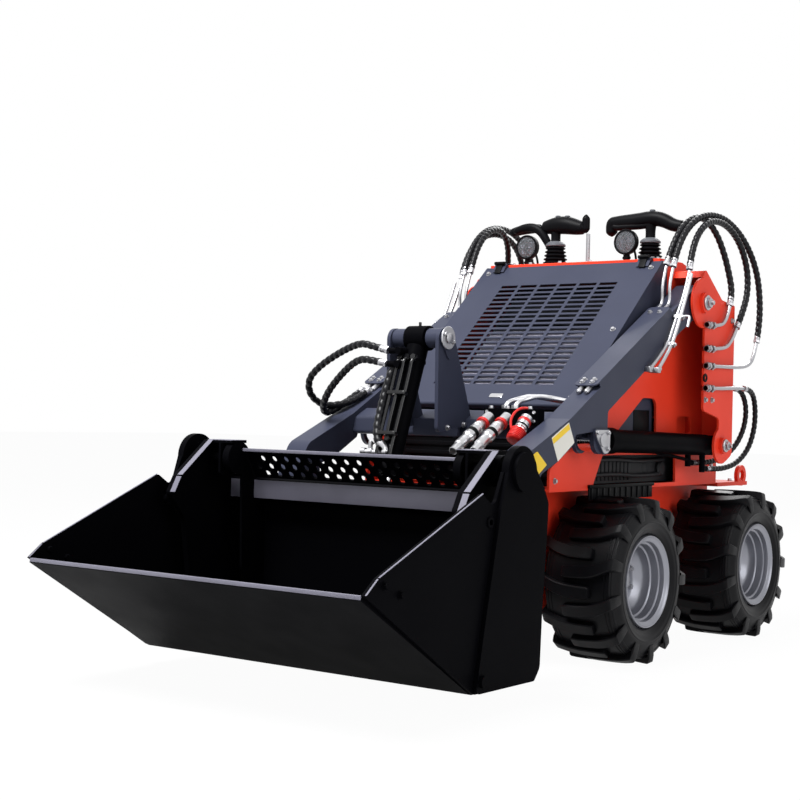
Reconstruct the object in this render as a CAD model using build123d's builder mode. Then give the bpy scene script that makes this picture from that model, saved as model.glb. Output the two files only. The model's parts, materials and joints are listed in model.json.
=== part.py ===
"""Compact stand-on skid steer loader with a four-in-one bucket.

Millimetres. +X is the machine's left, +Z is up and the bucket is at the -Y end.
The origin is on the ground under the middle of the machine. Side views are drawn
on planes whose own origin is on the ground under the front axle.
"""
import math
import os

from build123d import *

os.makedirs("parts", exist_ok=True)

# ---------------------------------------------------------------- driving dimensions
FRONT_AXLE_Y = 213.5
WHEELBASE = 820.0
TYRE_RADIUS = 257.0
TYRE_INNER_X = 264.0
TYRE_WIDTH = 256.0
RIM_FLANGE_RADIUS = 143.0
RIM_SEAT_RADIUS = 128.0
BEAD_INSET = 20.0             # from the tyre's widest point to its bead

TUB_HALF = 240.0            # outer face of the lower frame
PANEL_X = 337.0             # inner face of the side panels
SHEET = 8.0                 # plate thickness of the frame
OUTER_CHEEK_X = 448.0       # inner face of the outer cheeks that carry the arm pins
REAR_Y = 830.0              # rear face of the frame
CHEEK_REAR_Y = 712.0
HOOD_HALF = 350.0
TREAD_BASE_RADIUS = 238.0
LUGS_A_SIDE = 13

ARM_PIVOT = (463.0, 1150.0)          # side view (y, z)
ARM_INNER_X = 362.0
ARM_WIDTH = 78.0
ARM_SHOULDER = (434.0, 1202.5)       # the arm's straight top edge runs from here
ARM_ELBOW = (-378.0, 752.0)          # to here, before the arm bends down
ARM_LUG = (-196.0, 690.0)            # front pin of the lift cylinder
LIFT_BASE = (630.0, 672.0)           # rear pin of the lift cylinder
LIFT_X = 400.0
CROSS_TUBE = (-330.0, 730.0)
TILT_X = -30.0                       # the tilt cylinder stands a little off centre
TOWER_PIN = (-483.0, 985.0)          # upper pin of the tilt cylinder
ATTACH_PIVOT = (-593.0, 274.0)       # the bucket tilts about this pin
TILT_PIN = (-683.0, 445.0)           # lower pin of the tilt cylinder

JAW_PIVOT = (-872.0, 612.0)          # the clam jaw turns about this pin
JAW_WALL_X = 565.0
JAW_PLATE = 10.0
HEAD_END_X = 495.0                   # inner face of the bucket head's end plates
HEAD_BACK_Y = -742.0
JAW_BASE = (-760.0, 130.0)           # lower pin of the jaw cylinder
JAW_EYE = (-872.0, 450.0)            # rod pin of the jaw cylinder
JAW_CYLINDER_X = 536.0

PLATFORM_HINGE = (1030.0, 262.0)     # the rider's platform folds down about this pin
SHELF_HALF = 352.0
RING_CENTRE = (1040.0, 558.0)        # lashing rings on the rear shelf
RING_BORE = 20.0
RING_THICKNESS = 14.0


# ---------------------------------------------------------------- drawing helpers
def side_plane(x):
    """Side view plane at x; its local axes are +Y and +Z from under the front axle."""
    return Plane(origin=(x, FRONT_AXLE_Y, 0), x_dir=(0, 1, 0), z_dir=(1, 0, 0))


def outline(corners):
    """Closed line through corners given as (u, v, corner radius)."""
    FilletPolyline(*[c[:2] for c in corners], radius=[c[2] for c in corners], close=True)


def side_slab(x, thickness, corners, mode=Mode.ADD):
    """Plate drawn in side view, from x to x + thickness."""
    with BuildSketch(side_plane(x)) as view:
        with BuildLine():
            outline(corners)
        make_face()
    extrude(view.sketch, amount=thickness, mode=mode)


def side_disc(x, thickness, centre, radius, mode=Mode.ADD):
    """Round boss, pin or hole along X."""
    with BuildSketch(side_plane(x)) as view:
        with Locations(centre):
            Circle(radius)
    extrude(view.sketch, amount=thickness, mode=mode)


def side_link(x, thickness, start, end, r_start, r_end, mode=Mode.ADD):
    """Plate with a round lobe at each end and straight tangent flanks."""
    with BuildSketch(side_plane(x)) as view:
        with Locations(start):
            Circle(r_start)
        with Locations(end):
            Circle(r_end)
        make_hull()
    extrude(view.sketch, amount=thickness, mode=mode)


def block(x_span, y_span, z_span, mode=Mode.ADD):
    """Box between two values of x, y from the front axle, and z."""
    centre = (sum(x_span) / 2, FRONT_AXLE_Y + sum(y_span) / 2, sum(z_span) / 2)
    with Locations(centre):
        Box(x_span[1] - x_span[0], y_span[1] - y_span[0], z_span[1] - z_span[0], mode=mode)


def place(x, y, z):
    """Point given from under the front axle."""
    return (x, FRONT_AXLE_Y + y, z)


def rod(x, start, end, radius, mode=Mode.ADD):
    """Round bar in a side view plane, from one (y, z) point to another."""
    origin = place(x, *start)
    direction = (0, end[0] - start[0], end[1] - start[1])
    with BuildSketch(Plane(origin=origin, x_dir=(1, 0, 0), z_dir=direction)) as section:
        Circle(radius)
    extrude(section.sketch, amount=math.dist(start, end), mode=mode)


def along(start, end, distance):
    """Point at a distance from start towards end, in a side view."""
    share = distance / math.dist(start, end)
    return tuple(a + (b - a) * share for a, b in zip(start, end))


def bend_radii(points, share=0.45):
    """Largest arc that the two runs at each inner point leave room for."""
    radii = []
    for before, here, after in zip(points, points[1:], points[2:]):
        run_in, run_out = Vector(here) - Vector(before), Vector(after) - Vector(here)
        turn = math.radians(run_in.get_angle(run_out))
        radii.append(share * min(run_in.length, run_out.length) / math.tan(turn / 2))
    return radii


def hose(points, diameter, share=0.45):
    """Round hose or tube through points given from under the front axle."""
    route = [place(*p) for p in points]
    with BuildLine() as path:
        if len(route) > 2:
            FilletPolyline(*route, radius=bend_radii(route, share))
        else:
            Line(*route)
    with BuildSketch(Plane(origin=path.wire() @ 0, z_dir=path.wire() % 0)) as section:
        Circle(diameter / 2)
    sweep(section.sketch, path=path.wire())


def rounded_block(x_span, y_span, z_span, radius):
    """Box with its four upright edges rounded."""
    plane = Plane(origin=place(sum(x_span) / 2, sum(y_span) / 2, z_span[0]))
    with BuildSketch(plane) as base:
        RectangleRounded(x_span[1] - x_span[0], y_span[1] - y_span[0], radius)
    extrude(base.sketch, amount=z_span[1] - z_span[0])


def save(piece, name):
    piece.part.label = name
    export_step(piece.part, f"parts/{name}.step")


def save_pair(piece, name):
    """Write the left piece and its mirror image on the right."""
    save(piece, f"{name}_left")
    with BuildPart() as twin:
        mirror(piece.part, about=Plane.YZ)
    save(twin, f"{name}_right")


# ---------------------------------------------------------------- wheels
tyre_mid_x = TYRE_INNER_X + TYRE_WIDTH / 2
tyre_outer_x = TYRE_INNER_X + TYRE_WIDTH

with BuildPart() as tyre:
    half = TYRE_WIDTH / 2
    # bars that bend from each shoulder to past the middle, on a casing with a flat under
    # each bar; the outer corner of one bar rests on the ground
    lug_reach = 44
    lug_plane = math.sqrt(TYRE_RADIUS ** 2 - lug_reach ** 2)
    first_lug = math.pi / 2 - math.atan2(lug_reach, lug_plane)
    casing = [                               # (distance from the middle, radius)
        (-half, 188), (24 - half, TREAD_BASE_RADIUS), (half - 24, TREAD_BASE_RADIUS), (half, 188),
    ]
    inner_recess = [(-half, 186), (BEAD_INSET - half, 146)]
    outer_recess = [(half - BEAD_INSET, 146), (half, 186)]
    for rings, mode in ((casing, Mode.ADD), (inner_recess, Mode.SUBTRACT), (outer_recess, Mode.SUBTRACT)):
        sections = []
        for x, radius in rings:
            with BuildSketch(Plane.YZ.offset(tyre_mid_x + x)) as section:
                RegularPolygon(radius, 2 * LUGS_A_SIDE,
                               rotation=90 / LUGS_A_SIDE - math.degrees(first_lug))
            sections.append(section.sketch)
        loft(sections, ruled=True, mode=mode)
    with BuildSketch(Plane.YZ.offset(TYRE_INNER_X)) as seat:
        Circle(RIM_SEAT_RADIUS)
    extrude(seat.sketch, amount=TYRE_WIDTH, mode=Mode.SUBTRACT)
    for side in (1, -1):
        for step in range(LUGS_A_SIDE):
            turn = math.tau * (step + (0.5 if side < 0 else 0)) / LUGS_A_SIDE - first_lug
            outward = (0, math.cos(turn), math.sin(turn))
            origin = (tyre_mid_x, lug_plane * outward[1], lug_plane * outward[2])
            with BuildSketch(Plane(origin=origin, x_dir=(1, 0, 0), z_dir=outward)) as bar:
                with BuildLine():
                    Polyline(*[(side * x, y) for x, y in (
                        (122, lug_reach), (122, 4), (56, -24), (-48, -28), (-48, 8), (56, 14))],
                             close=True)
                make_face()
            extrude(bar.sketch, amount=-50)

with BuildPart() as rim:
    with BuildSketch(Plane.XZ):
        with BuildLine():
            flange_x = tyre_outer_x - BEAD_INSET
            Polyline(
                (flange_x + 11, RIM_FLANGE_RADIUS), (flange_x + 10, RIM_FLANGE_RADIUS - 6),
                (flange_x + 2, 122), (478, 112), (432, 104), (414, 84), (410, 0), (402, 0),
                (405, 88), (428, 116), (284, 116), (274, RIM_FLANGE_RADIUS - 6),
                (273, RIM_FLANGE_RADIUS), (TYRE_INNER_X + BEAD_INSET, RIM_FLANGE_RADIUS),
                (TYRE_INNER_X + BEAD_INSET, RIM_SEAT_RADIUS), (flange_x, RIM_SEAT_RADIUS),
                (flange_x, RIM_FLANGE_RADIUS), close=True,
            )
        make_face()
    revolve(axis=Axis.X)
    with BuildSketch(Plane.YZ.offset(385)):
        Circle(72)
    extrude(amount=18)
    with BuildSketch(Plane.YZ.offset(408)):
        Circle(46)
        with PolarLocations(66, 5):
            Circle(9)
    extrude(amount=20)

for end, axle_y in (("front", 0.0), ("rear", WHEELBASE)):
    for side, is_left in (("left", True), ("right", False)):
        for piece, name in ((tyre, "tyre"), (rim, "rim")):
            with BuildPart() as wheel_piece:
                with Locations(place(0, axle_y, TYRE_RADIUS)):
                    add(piece.part if is_left else piece.part.mirror(Plane.YZ))
            save(wheel_piece, f"{name}_{end}_{side}")

# ---------------------------------------------------------------- lower frame
with BuildPart() as lower_frame:
    tub = [(-330, 540, 0), (-330, 250, 30), (-240, 150, 60), (760, 150, 40), (REAR_Y, 215, 30),
           (REAR_Y, 540, 0)]
    tub_inside = [(-322, 560, 0), (-322, 254, 24), (-236, 158, 52), (757, 158, 34),
                  (REAR_Y - SHEET, 219, 24), (REAR_Y - SHEET, 560, 0)]
    side_slab(-TUB_HALF, 2 * TUB_HALF, tub)
    side_slab(-TUB_HALF + SHEET, 2 * (TUB_HALF - SHEET), tub_inside, mode=Mode.SUBTRACT)
    for side in (-1, 1):
        fender = sorted((side * TUB_HALF, side * (PANEL_X + SHEET)))
        block(fender, (-330, REAR_Y), (532, 540))
save(lower_frame, "lower_frame")

with BuildPart() as wheel_motors:
    for axle_y in (0.0, WHEELBASE):
        side_disc(TUB_HALF, 16, (axle_y, TYRE_RADIUS), 80)
        side_disc(TUB_HALF, 144, (axle_y, TYRE_RADIUS), 52)
    mirror(about=Plane.YZ)
save(wheel_motors, "wheel_motors")

with BuildPart() as engine:
    block((-200, 200), (120, 640), (180, 760))
save(engine, "engine")

# ---------------------------------------------------------------- side panels and cheeks
with BuildPart() as side_panel:
    side_slab(PANEL_X, SHEET, [
        (-330, 540, 0), (-330, 600, 20), (-250, 640, 20), (-232, 735, 30), (-180, 782, 0),
        (364, 1270, 6), (386, 1290, 6), (545, 1290, 20), (655, 1222, 20), (REAR_Y, 1165, 20),
        (REAR_Y, 540, 0),
    ])
    # arched window, service gap and two pockets for the valves
    side_slab(PANEL_X, SHEET, [(60, 700, 6), (255, 826, 40), (352, 826, 30), (355, 700, 6)],
              mode=Mode.SUBTRACT)
    side_slab(PANEL_X, SHEET, [(-68, 545, 6), (-8, 640, 6), (500, 640, 6), (506, 545, 6)],
              mode=Mode.SUBTRACT)
    side_slab(PANEL_X, SHEET, [(508, 712, 12), (505, 768, 12), (610, 768, 12), (618, 712, 12)],
              mode=Mode.SUBTRACT)
    # outer cheek with its two pin lobes
    cheek_roof = [(455, 1236, 8), (472, 1264, 10), (560, 1203, 20), (607, 1170, 20),
                  (CHEEK_REAR_Y, 1157, 8)]
    side_slab(OUTER_CHEEK_X, SHEET, [
        (475, 1090, 0), (470, 1150, 0), *cheek_roof, (CHEEK_REAR_Y, 640, 26), (650, 612, 20),
        (600, 690, 0), (604, 765, 16), (477, 790, 14),
    ])
    side_disc(OUTER_CHEEK_X, SHEET, ARM_PIVOT, 84)
    side_disc(OUTER_CHEEK_X, SHEET, LIFT_BASE, 62)
    for z in (865, 940, 998, 1077):        # slots that the hydraulic tubes pass
        block((OUTER_CHEEK_X, OUTER_CHEEK_X + SHEET), (474, 496), (z - 8, z + 8),
              mode=Mode.SUBTRACT)
    # closing wall and folded roof between panel and cheek
    block((PANEL_X + SHEET, OUTER_CHEEK_X), (CHEEK_REAR_Y - SHEET, CHEEK_REAR_Y), (650, 1152))
    side_slab(PANEL_X + SHEET, OUTER_CHEEK_X - PANEL_X - SHEET, [
        (455, 1236, 0), *cheek_roof[1:-1], (CHEEK_REAR_Y, 1157, 0), (CHEEK_REAR_Y, 1149, 0),
        (605, 1162, 12), (556, 1195, 12), (474, 1252, 4), (463, 1234, 0),
    ])
    # pins of the arm and of the lift cylinder, with their spacer bosses and keeper plates
    for pin, radius, boss in ((ARM_PIVOT, 20, 34), (LIFT_BASE, 16, 28)):
        side_disc(PANEL_X + SHEET, OUTER_CHEEK_X + 16 - PANEL_X - SHEET, pin, radius)
        side_disc(OUTER_CHEEK_X + SHEET, 12, pin, boss)
        side_disc(PANEL_X + SHEET, 10, pin, boss)
save_pair(side_panel, "side_panel")

# ---------------------------------------------------------------- hood, deck and console
hood_top, hood_foot = (367, 1287), (-200, 793)
hood_slope = math.atan2(hood_top[1] - hood_foot[1], hood_top[0] - hood_foot[0])
hood_length = math.dist(hood_top, hood_foot)
hood_plane = Plane(origin=place(0, *hood_foot), x_dir=(1, 0, 0),
                   z_dir=(0, -math.sin(hood_slope), math.cos(hood_slope)))

with BuildPart() as hood:
    # sloped sheet with a skirt down each side, its back edge upright
    side_slab(-HOOD_HALF, 2 * HOOD_HALF, [
        (*hood_foot, 8), (*hood_top, 8), (400, 1287, 8), (400, 1140, 12), (-160, 785, 6),
        (-186, 777, 0),
    ])
    side_slab(-HOOD_HALF + 4, 2 * HOOD_HALF - 8, [
        (-192, 793, 0), (364, 1281, 0), (372, 1300, 0), (420, 1300, 0), (420, 1000, 0),
        (-100, 700, 0), (-180, 760, 0),
    ], mode=Mode.SUBTRACT)
    # six columns of cooling slots
    with BuildSketch(hood_plane.offset(-12)) as slots:
        with Locations((0, 0.49 * hood_length)):
            with GridLocations(78, 25, 6, 22):
                Rectangle(66, 15)
    extrude(slots.sketch, amount=24, mode=Mode.SUBTRACT)
    # latches at the upper corners and the small blank plate at the foot
    for x in (-286, 286):
        side_slab(x - 24, 48, [(338, 1268, 0), (362, 1300, 3), (404, 1300, 0), (404, 1298, 0),
                               (371, 1298, 0), (371, 1284, 0), (354, 1272, 0)])
save(hood, "hood")

with BuildPart() as deck:
    side_slab(-PANEL_X, 2 * PANEL_X, [
        (372, 1296, 3), (545, 1296, 20), (655, 1226, 20), (REAR_Y - 10, 1172, 10),
        (REAR_Y - 10, 1160, 0), (655, 1214, 20), (545, 1284, 20), (384, 1284, 0),
        (384, 1270, 0), (372, 1270, 0),
    ])
save(deck, "deck")

# the two headlamps stand on the deck
with BuildPart() as headlamps:
    for x, y in ((175, 426), (-226, 432)):
        with BuildSketch(Plane(origin=place(x, y, 1364), x_dir=(1, 0, 0), z_dir=(0, 1, 0))) as face:
            Circle(44)
        extrude(face.sketch, amount=26)
        extrude(offset(face.sketch, amount=-18, mode=Mode.PRIVATE), amount=38)
        block((x - 8, x + 8), (y + 4, y + 22), (1296, 1330))
        block((x - 24, x + 24), (y - 4, y + 34), (1296, 1301))
save(headlamps, "headlamps")

# front views (x, z, corner radius) of the two curved hand grips
right_grip = [
    (77, 1463, 8), (101, 1455, 0), (189, 1473, 30), (237, 1483, 12), (262, 1474, 20),
    (373, 1422, 12), (334, 1395, 14), (262, 1392, 8), (262, 1380, 0), (206, 1380, 0),
    (206, 1414, 12), (120, 1414, 12), (92, 1412, 0), (77, 1416, 6),
]
left_grip = [
    (-318, 1424, 10), (-262, 1450, 30), (-172, 1453, 12), (-145, 1475, 12), (-76, 1471, 20),
    (-16, 1442, 6), (-12, 1475, 6), (14, 1471, 8), (16, 1404, 8), (-16, 1380, 14),
    (-70, 1367, 14), (-92, 1380, 0), (-148, 1380, 0), (-150, 1412, 10), (-300, 1410, 6),
]
with BuildPart() as control_levers:
    # (x, y, outline) of each lever; five ribs of its bellows rise to a cap
    for x, y, corners in ((234, 498, right_grip), (-120, 458, left_grip)):
        with BuildSketch(Plane(origin=place(0, y + 27, 0), x_dir=(1, 0, 0), z_dir=(0, -1, 0))) as view:
            with BuildLine():
                outline(corners)
            make_face()
        extrude(view.sketch, amount=54)
        for level, radius in enumerate((44, 42, 40, 38)):
            with Locations(place(x, y, 1296 + 17 * level)):
                Cone(radius, radius - 8, 9, align=(Align.CENTER, Align.CENTER, Align.MIN))
                with Locations((0, 0, 9)):
                    Cone(radius - 8, radius - 2, 8,
                         align=(Align.CENTER, Align.CENTER, Align.MIN))
        with Locations(place(x, y, 1364)):
            Cone(36, 20, 18, align=(Align.CENTER, Align.CENTER, Align.MIN))
    # upright guard rod with a black grip
    rod(12, (458, 1296), (458, 1408), 6)
save(control_levers, "control_levers")

with BuildPart() as rear_panel:
    block((-PANEL_X, PANEL_X), (REAR_Y - SHEET, REAR_Y), (540, 1158))
save(rear_panel, "rear_panel")

with BuildPart() as rear_bumper:
    side_slab(-238, 476, [(REAR_Y, 240, 0), (REAR_Y, 522, 0), (990, 522, 0), (990, 330, 20),
                          (930, 240, 20)])
    block((-SHELF_HALF, SHELF_HALF), (REAR_Y, 1088), (522, 536))
    for x in (-SHELF_HALF, SHELF_HALF - RING_THICKNESS):
        side_disc(x, RING_THICKNESS, RING_CENTRE, 38)
        side_disc(x, RING_THICKNESS, RING_CENTRE, RING_BORE, mode=Mode.SUBTRACT)
    # hinge lugs of the platform
    for x in (-238, 208):
        side_link(x, 30, PLATFORM_HINGE, (960, 290), 16, 26)
        side_disc(x, 30, PLATFORM_HINGE, 8.05, mode=Mode.SUBTRACT)
save(rear_bumper, "rear_bumper")

with BuildPart() as platform:
    side_slab(-200, 400, [(1002, 512, 5), (1014, 512, 5), (1036, 262, 0), (1024, 262, 0)])
    side_disc(-202, 404, PLATFORM_HINGE, 15)
    side_disc(-236, 472, PLATFORM_HINGE, 8)
save(platform, "platform")

# ---------------------------------------------------------------- service tubes and lift hoses
# runs behind each cheek's front edge, back to the hose ends: (y, z) of each bend
service_runs = [
    [(468, 1077), (555, 1077), (617, 1098), (640, 1151)],
    [(468, 998), (590, 1000), (660, 1026), (700, 1078)],
    [(468, 940), (690, 942), (800, 950), (850, 980), (872, 1036)],
    [(468, 865), (600, 867), (700, 872), (770, 872)],
]
# lift cylinder hoses: (x, y, z) of each bend, from the lowest tube to the ports
lift_hose_routes = [
    [(469, 771, 872), (468, 820, 871), (464, 872, 848), (459, 902, 792), (455, 902, 724),
     (450, 866, 658), (440, 796, 610), (426, 722, 592), (414, 656, 590), (412, 601, 592)],
    [(430, 777, 872), (430, 820, 871), (431, 862, 846), (434, 880, 796), (432, 866, 730),
     (424, 816, 668), (408, 746, 628), (393, 672, 613), (388, 602, 611), (388, 541, 612)],
]

with BuildPart() as service_tubes:
    for run in service_runs:
        hose([(469, *point) for point in run], 13)
        for y in (470, 503):
            rod(469, (y, run[0][1]), (y + 21, run[0][1]), 10)
    rod(430, (CHEEK_REAR_Y, 872), (776, 872), 6.5)
    mirror(about=Plane.YZ)
save(service_tubes, "service_tubes")

with BuildPart() as lift_hoses:
    for route in lift_hose_routes:
        hose(route, 18)
    mirror(about=Plane.YZ)
save(lift_hoses, "lift_hoses")

# ---------------------------------------------------------------- lift arms
arm_slope = math.atan2(ARM_SHOULDER[1] - ARM_ELBOW[1], ARM_SHOULDER[0] - ARM_ELBOW[0])
arm_mid_x = ARM_INNER_X + ARM_WIDTH / 2


def arm_top(distance, height=0.0):
    """Side view point along the arm's top edge from the elbow, and above that edge."""
    return (ARM_ELBOW[0] + distance * math.cos(arm_slope) - height * math.sin(arm_slope),
            ARM_ELBOW[1] + distance * math.sin(arm_slope) + height * math.cos(arm_slope))


with BuildPart() as arm:
    side_disc(ARM_INNER_X, ARM_WIDTH, ARM_PIVOT, 60)
    side_slab(ARM_INNER_X, ARM_WIDTH, [
        (*ARM_SHOULDER, 0), (*ARM_ELBOW, 60), (-600, 657, 60), (-652, 560, 60), (-643, 274, 0),
        (-543, 274, 0), (-540, 592, 20), (-444, 629, 60), (-356, 677, 12), (-345, 706, 12),
        (-233, 716, 0), (-200, 700, 0), (-154, 690, 0), (-154, 777, 16), (48, 889, 60),
        (330, 1048, 60), (421, 1092, 20), (463, 1092, 0),
    ])
    side_disc(ARM_INNER_X, ARM_WIDTH, ARM_LUG, 42)
    side_disc(ARM_INNER_X, ARM_WIDTH, ATTACH_PIVOT, 50)
    # pin bores at both ends, and the slot that takes the lift cylinder's rod eye
    side_disc(ARM_INNER_X, ARM_WIDTH, ARM_PIVOT, 20.05, mode=Mode.SUBTRACT)
    side_disc(ARM_INNER_X, ARM_WIDTH, ATTACH_PIVOT, 17.05, mode=Mode.SUBTRACT)
    side_link(LIFT_X - 26, 52, ARM_LUG, (-60, 640), 70, 90, mode=Mode.SUBTRACT)
    # keeper plate of the rod pin
    side_slab(ARM_INNER_X + ARM_WIDTH, 8, [
        (-254, 724, 12), (-150, 724, 12), (-152, 650, 22), (-190, 646, 22), (-232, 690, 20),
    ])
    side_disc(ARM_INNER_X + ARM_WIDTH + 8, 5, ARM_LUG, 20)
    # sheet cover over the tubes, held up by a flange along each side
    for x in (ARM_INNER_X, ARM_INNER_X + ARM_WIDTH - 3):
        side_slab(x, 3, [(*arm_top(200, -2), 0), (*arm_top(730, -2), 0), (*arm_top(730, 14), 0),
                         (*arm_top(200, 14), 0)])
    cover_middle = place(arm_mid_x, *arm_top(455, 14))
    with BuildSketch(Plane(origin=cover_middle, x_dir=(1, 0, 0),
                           z_dir=(0, -math.sin(arm_slope), math.cos(arm_slope)))) as cover:
        RectangleRounded(ARM_WIDTH, 554, 16)
    extrude(cover.sketch, amount=4)
save_pair(arm, "arm")

# two tubes under each arm's cover strip and two along its outer side
with BuildPart() as arm_tubes:
    for x, top in ((388, (316, 1262)), (414, (313, 1255))):
        hose([(x, *top), (x, 288, 1200), (x, *arm_top(778, 17)), (x, *arm_top(750, 6.5)),
              (x, *arm_top(150, 6.5))], 11)
    for x, top, foot in ((453, (354, 1248), (86, 914)), (468, (338, 1236), (112, 912))):
        hose([(x, *top), (x, top[0] - 26, 1178), (x, 250, 1064), (x, 196, 980),
              (x, *foot)], 12)
    # clamp that holds the outer tubes to the arm's flank
    block((ARM_INNER_X + ARM_WIDTH, 476), (196, 222), (984, 1000))
    mirror(about=Plane.YZ)
save(arm_tubes, "arm_tubes")

# hoses that loop from the tubes on the arm back to the frame: (x, y, z) of each bend
arm_hose_routes = [
    [(453, 354, 1252), (451, 372, 1310), (449, 420, 1378), (447, 495, 1424), (445, 585, 1440),
     (448, 680, 1424), (454, 758, 1372), (462, 800, 1290), (468, 790, 1204), (470, 742, 1132),
     (469, 701.2, 1079.5)],
    [(414, 313, 1259), (416, 336, 1318), (420, 390, 1388), (426, 470, 1440), (432, 570, 1462),
     (438, 680, 1452), (446, 780, 1408), (455, 856, 1340), (463, 900, 1250), (469, 903, 1115),
     (469, 872.7, 1037.8)],
    [(388, 316, 1266), (392, 344, 1326), (398, 400, 1398), (404, 480, 1444), (411, 560, 1446),
     (424, 620, 1402), (440, 650, 1334), (456, 660, 1262), (468, 661, 1199), (469, 640.8, 1152.8)],
]
with BuildPart() as arm_hoses:
    for route in arm_hose_routes:
        hose(route, 21)
    mirror(about=Plane.YZ)
save(arm_hoses, "arm_hoses")

tower_sides = (TILT_X - 96, TILT_X + 84)
with BuildPart() as cross_member:
    side_slab(-ARM_INNER_X, 2 * ARM_INNER_X, [
        (-380, 688, 10), (-366, 742, 14), (-300, 776, 20), (-268, 740, 14), (-300, 688, 14),
    ])
    for x in tower_sides:
        side_slab(x, 12, [(-515, 700, 16), (-330, 728, 10), (-425, 962, 30), (-444, 1010, 34),
                          (-522, 1022, 36)])
    # spacer tubes either side of the cylinder's eye, pin and its keeper plate
    side_disc(tower_sides[0] - 8, tower_sides[1] - tower_sides[0] + 28, TOWER_PIN, 18)
    for start, end in ((tower_sides[0] + 12, TILT_X - 40), (TILT_X + 40, tower_sides[1])):
        side_disc(start, end - start, TOWER_PIN, 30)
    side_link(tower_sides[1] + 12, 6, TOWER_PIN, (-466, 938), 30, 16)
    # front plate that ties the tower's feet together
    block((tower_sides[0] + 12, tower_sides[1]), (-392, -380), (692, 742))
save(cross_member, "cross_member")

# ---------------------------------------------------------------- lift cylinders
with BuildPart() as lift_barrel:
    side_disc(LIFT_X - 22, 44, LIFT_BASE, 34)
    rod(LIFT_X, along(LIFT_BASE, ARM_LUG, 20), along(LIFT_BASE, ARM_LUG, 700), 36)
    rod(LIFT_X, along(LIFT_BASE, ARM_LUG, 690), along(LIFT_BASE, ARM_LUG, 740), 41)
    # elbows of the two ports, and the pipe that leads to the rod end
    for x, y, z in ((412, 570, 592), (388, 510, 612)):
        rod(x, (y, 660), (y, z - 12), 10)
        rod(x, (y, z), (y + 30, z), 9)
    rod(LIFT_X - 12, (510, 622), along(LIFT_BASE, ARM_LUG, 680), 6)
    rod(LIFT_X, along(LIFT_BASE, ARM_LUG, 60), along(LIFT_BASE, ARM_LUG, 740), 20.2,
        mode=Mode.SUBTRACT)
    side_disc(LIFT_X - 22, 44, LIFT_BASE, 16.05, mode=Mode.SUBTRACT)
save_pair(lift_barrel, "lift_barrel")

with BuildPart() as lift_rod:
    rod(LIFT_X, along(LIFT_BASE, ARM_LUG, 280), ARM_LUG, 20)
    side_disc(LIFT_X - 23, 46, ARM_LUG, 34)
save_pair(lift_rod, "lift_rod")

# ---------------------------------------------------------------- tilt cylinder
with BuildPart() as tilt_barrel:
    hose([(-48, -530, 920), (-74, -552, 900), (-80, -572, 846), (-80, -602, 770),
          (-72, -634, 700), (-48, -648, 660), (-30, -632, 636)], 20)
    for y, z in ((-560, 944), (-566, 904)):       # elbows of the two ports
        rod(-48, (-505, z), (y - 11, z), 11)
        side_disc(-84, 40, (y, z), 9)
    rod(TILT_X, along(TOWER_PIN, TILT_PIN, 30), along(TOWER_PIN, TILT_PIN, 440), 33)
    side_disc(TILT_X - 36, 72, TOWER_PIN, 38)
    side_disc(TILT_X - 36, 72, TOWER_PIN, 18.05, mode=Mode.SUBTRACT)
    rod(TILT_X, along(TOWER_PIN, TILT_PIN, 60), along(TOWER_PIN, TILT_PIN, 440), 17.1,
        mode=Mode.SUBTRACT)
save(tilt_barrel, "tilt_barrel")

with BuildPart() as tilt_rod:
    rod(TILT_X, along(TOWER_PIN, TILT_PIN, 180), TILT_PIN, 17)
    side_disc(TILT_X - 28, 56, TILT_PIN, 30)
save(tilt_rod, "tilt_rod")

# ---------------------------------------------------------------- couplers and tilt hoses
with BuildPart() as coupler_block:
    rounded_block((168, 356), (-426, -381), (730, 778), 6)
save(coupler_block, "coupler_block")

# (x, length, drop for each mm of length, sleeve radius) of the quick couplers
with BuildPart() as quick_couplers:
    for x, length, drop, sleeve in ((200, 190, 0.53, 18), (262, 176, 0.56, 18), (330, 90, 0.9, 20)):
        start, end = (-438, 753), (-438 - length, 753 - drop * length)
        rod(x, (-426, 753), (-444, 753), 10)
        rod(x, start, end, 12)
        for near, far, radius in ((0.0, 0.16, 17), (0.3, 0.62, sleeve), (0.7, 0.84, sleeve - 3)):
            rod(x, along(start, end, near * math.dist(start, end)),
                along(start, end, far * math.dist(start, end)), radius)
save(quick_couplers, "quick_couplers")

# (x, y, z) of each bend, from the far arm's tubes to the tilt cylinder's ports
tilt_hose_routes = [
    [(-388, *arm_top(140, 13)), (-392, *arm_top(70, 15)), (-414, -376, 780), (-450, -424, 774),
     (-470, -470, 808), (-452, -500, 858), (-398, -512, 898), (-322, -524, 934), (-244, -542, 960),
     (-190, -556, 968), (-140, -562, 956), (-90, -560, 945)],
    [(-416, *arm_top(140, 13)), (-418, *arm_top(70, 15)), (-430, -372, 770), (-440, -422, 748),
     (-418, -468, 772), (-368, -502, 820), (-306, -524, 866), (-240, -548, 904), (-190, -562, 920),
     (-140, -568, 914), (-90, -566, 905)],
]
with BuildPart() as tilt_hoses:
    for route in tilt_hose_routes:
        hose(route, 22)
save(tilt_hoses, "tilt_hoses")

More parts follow.
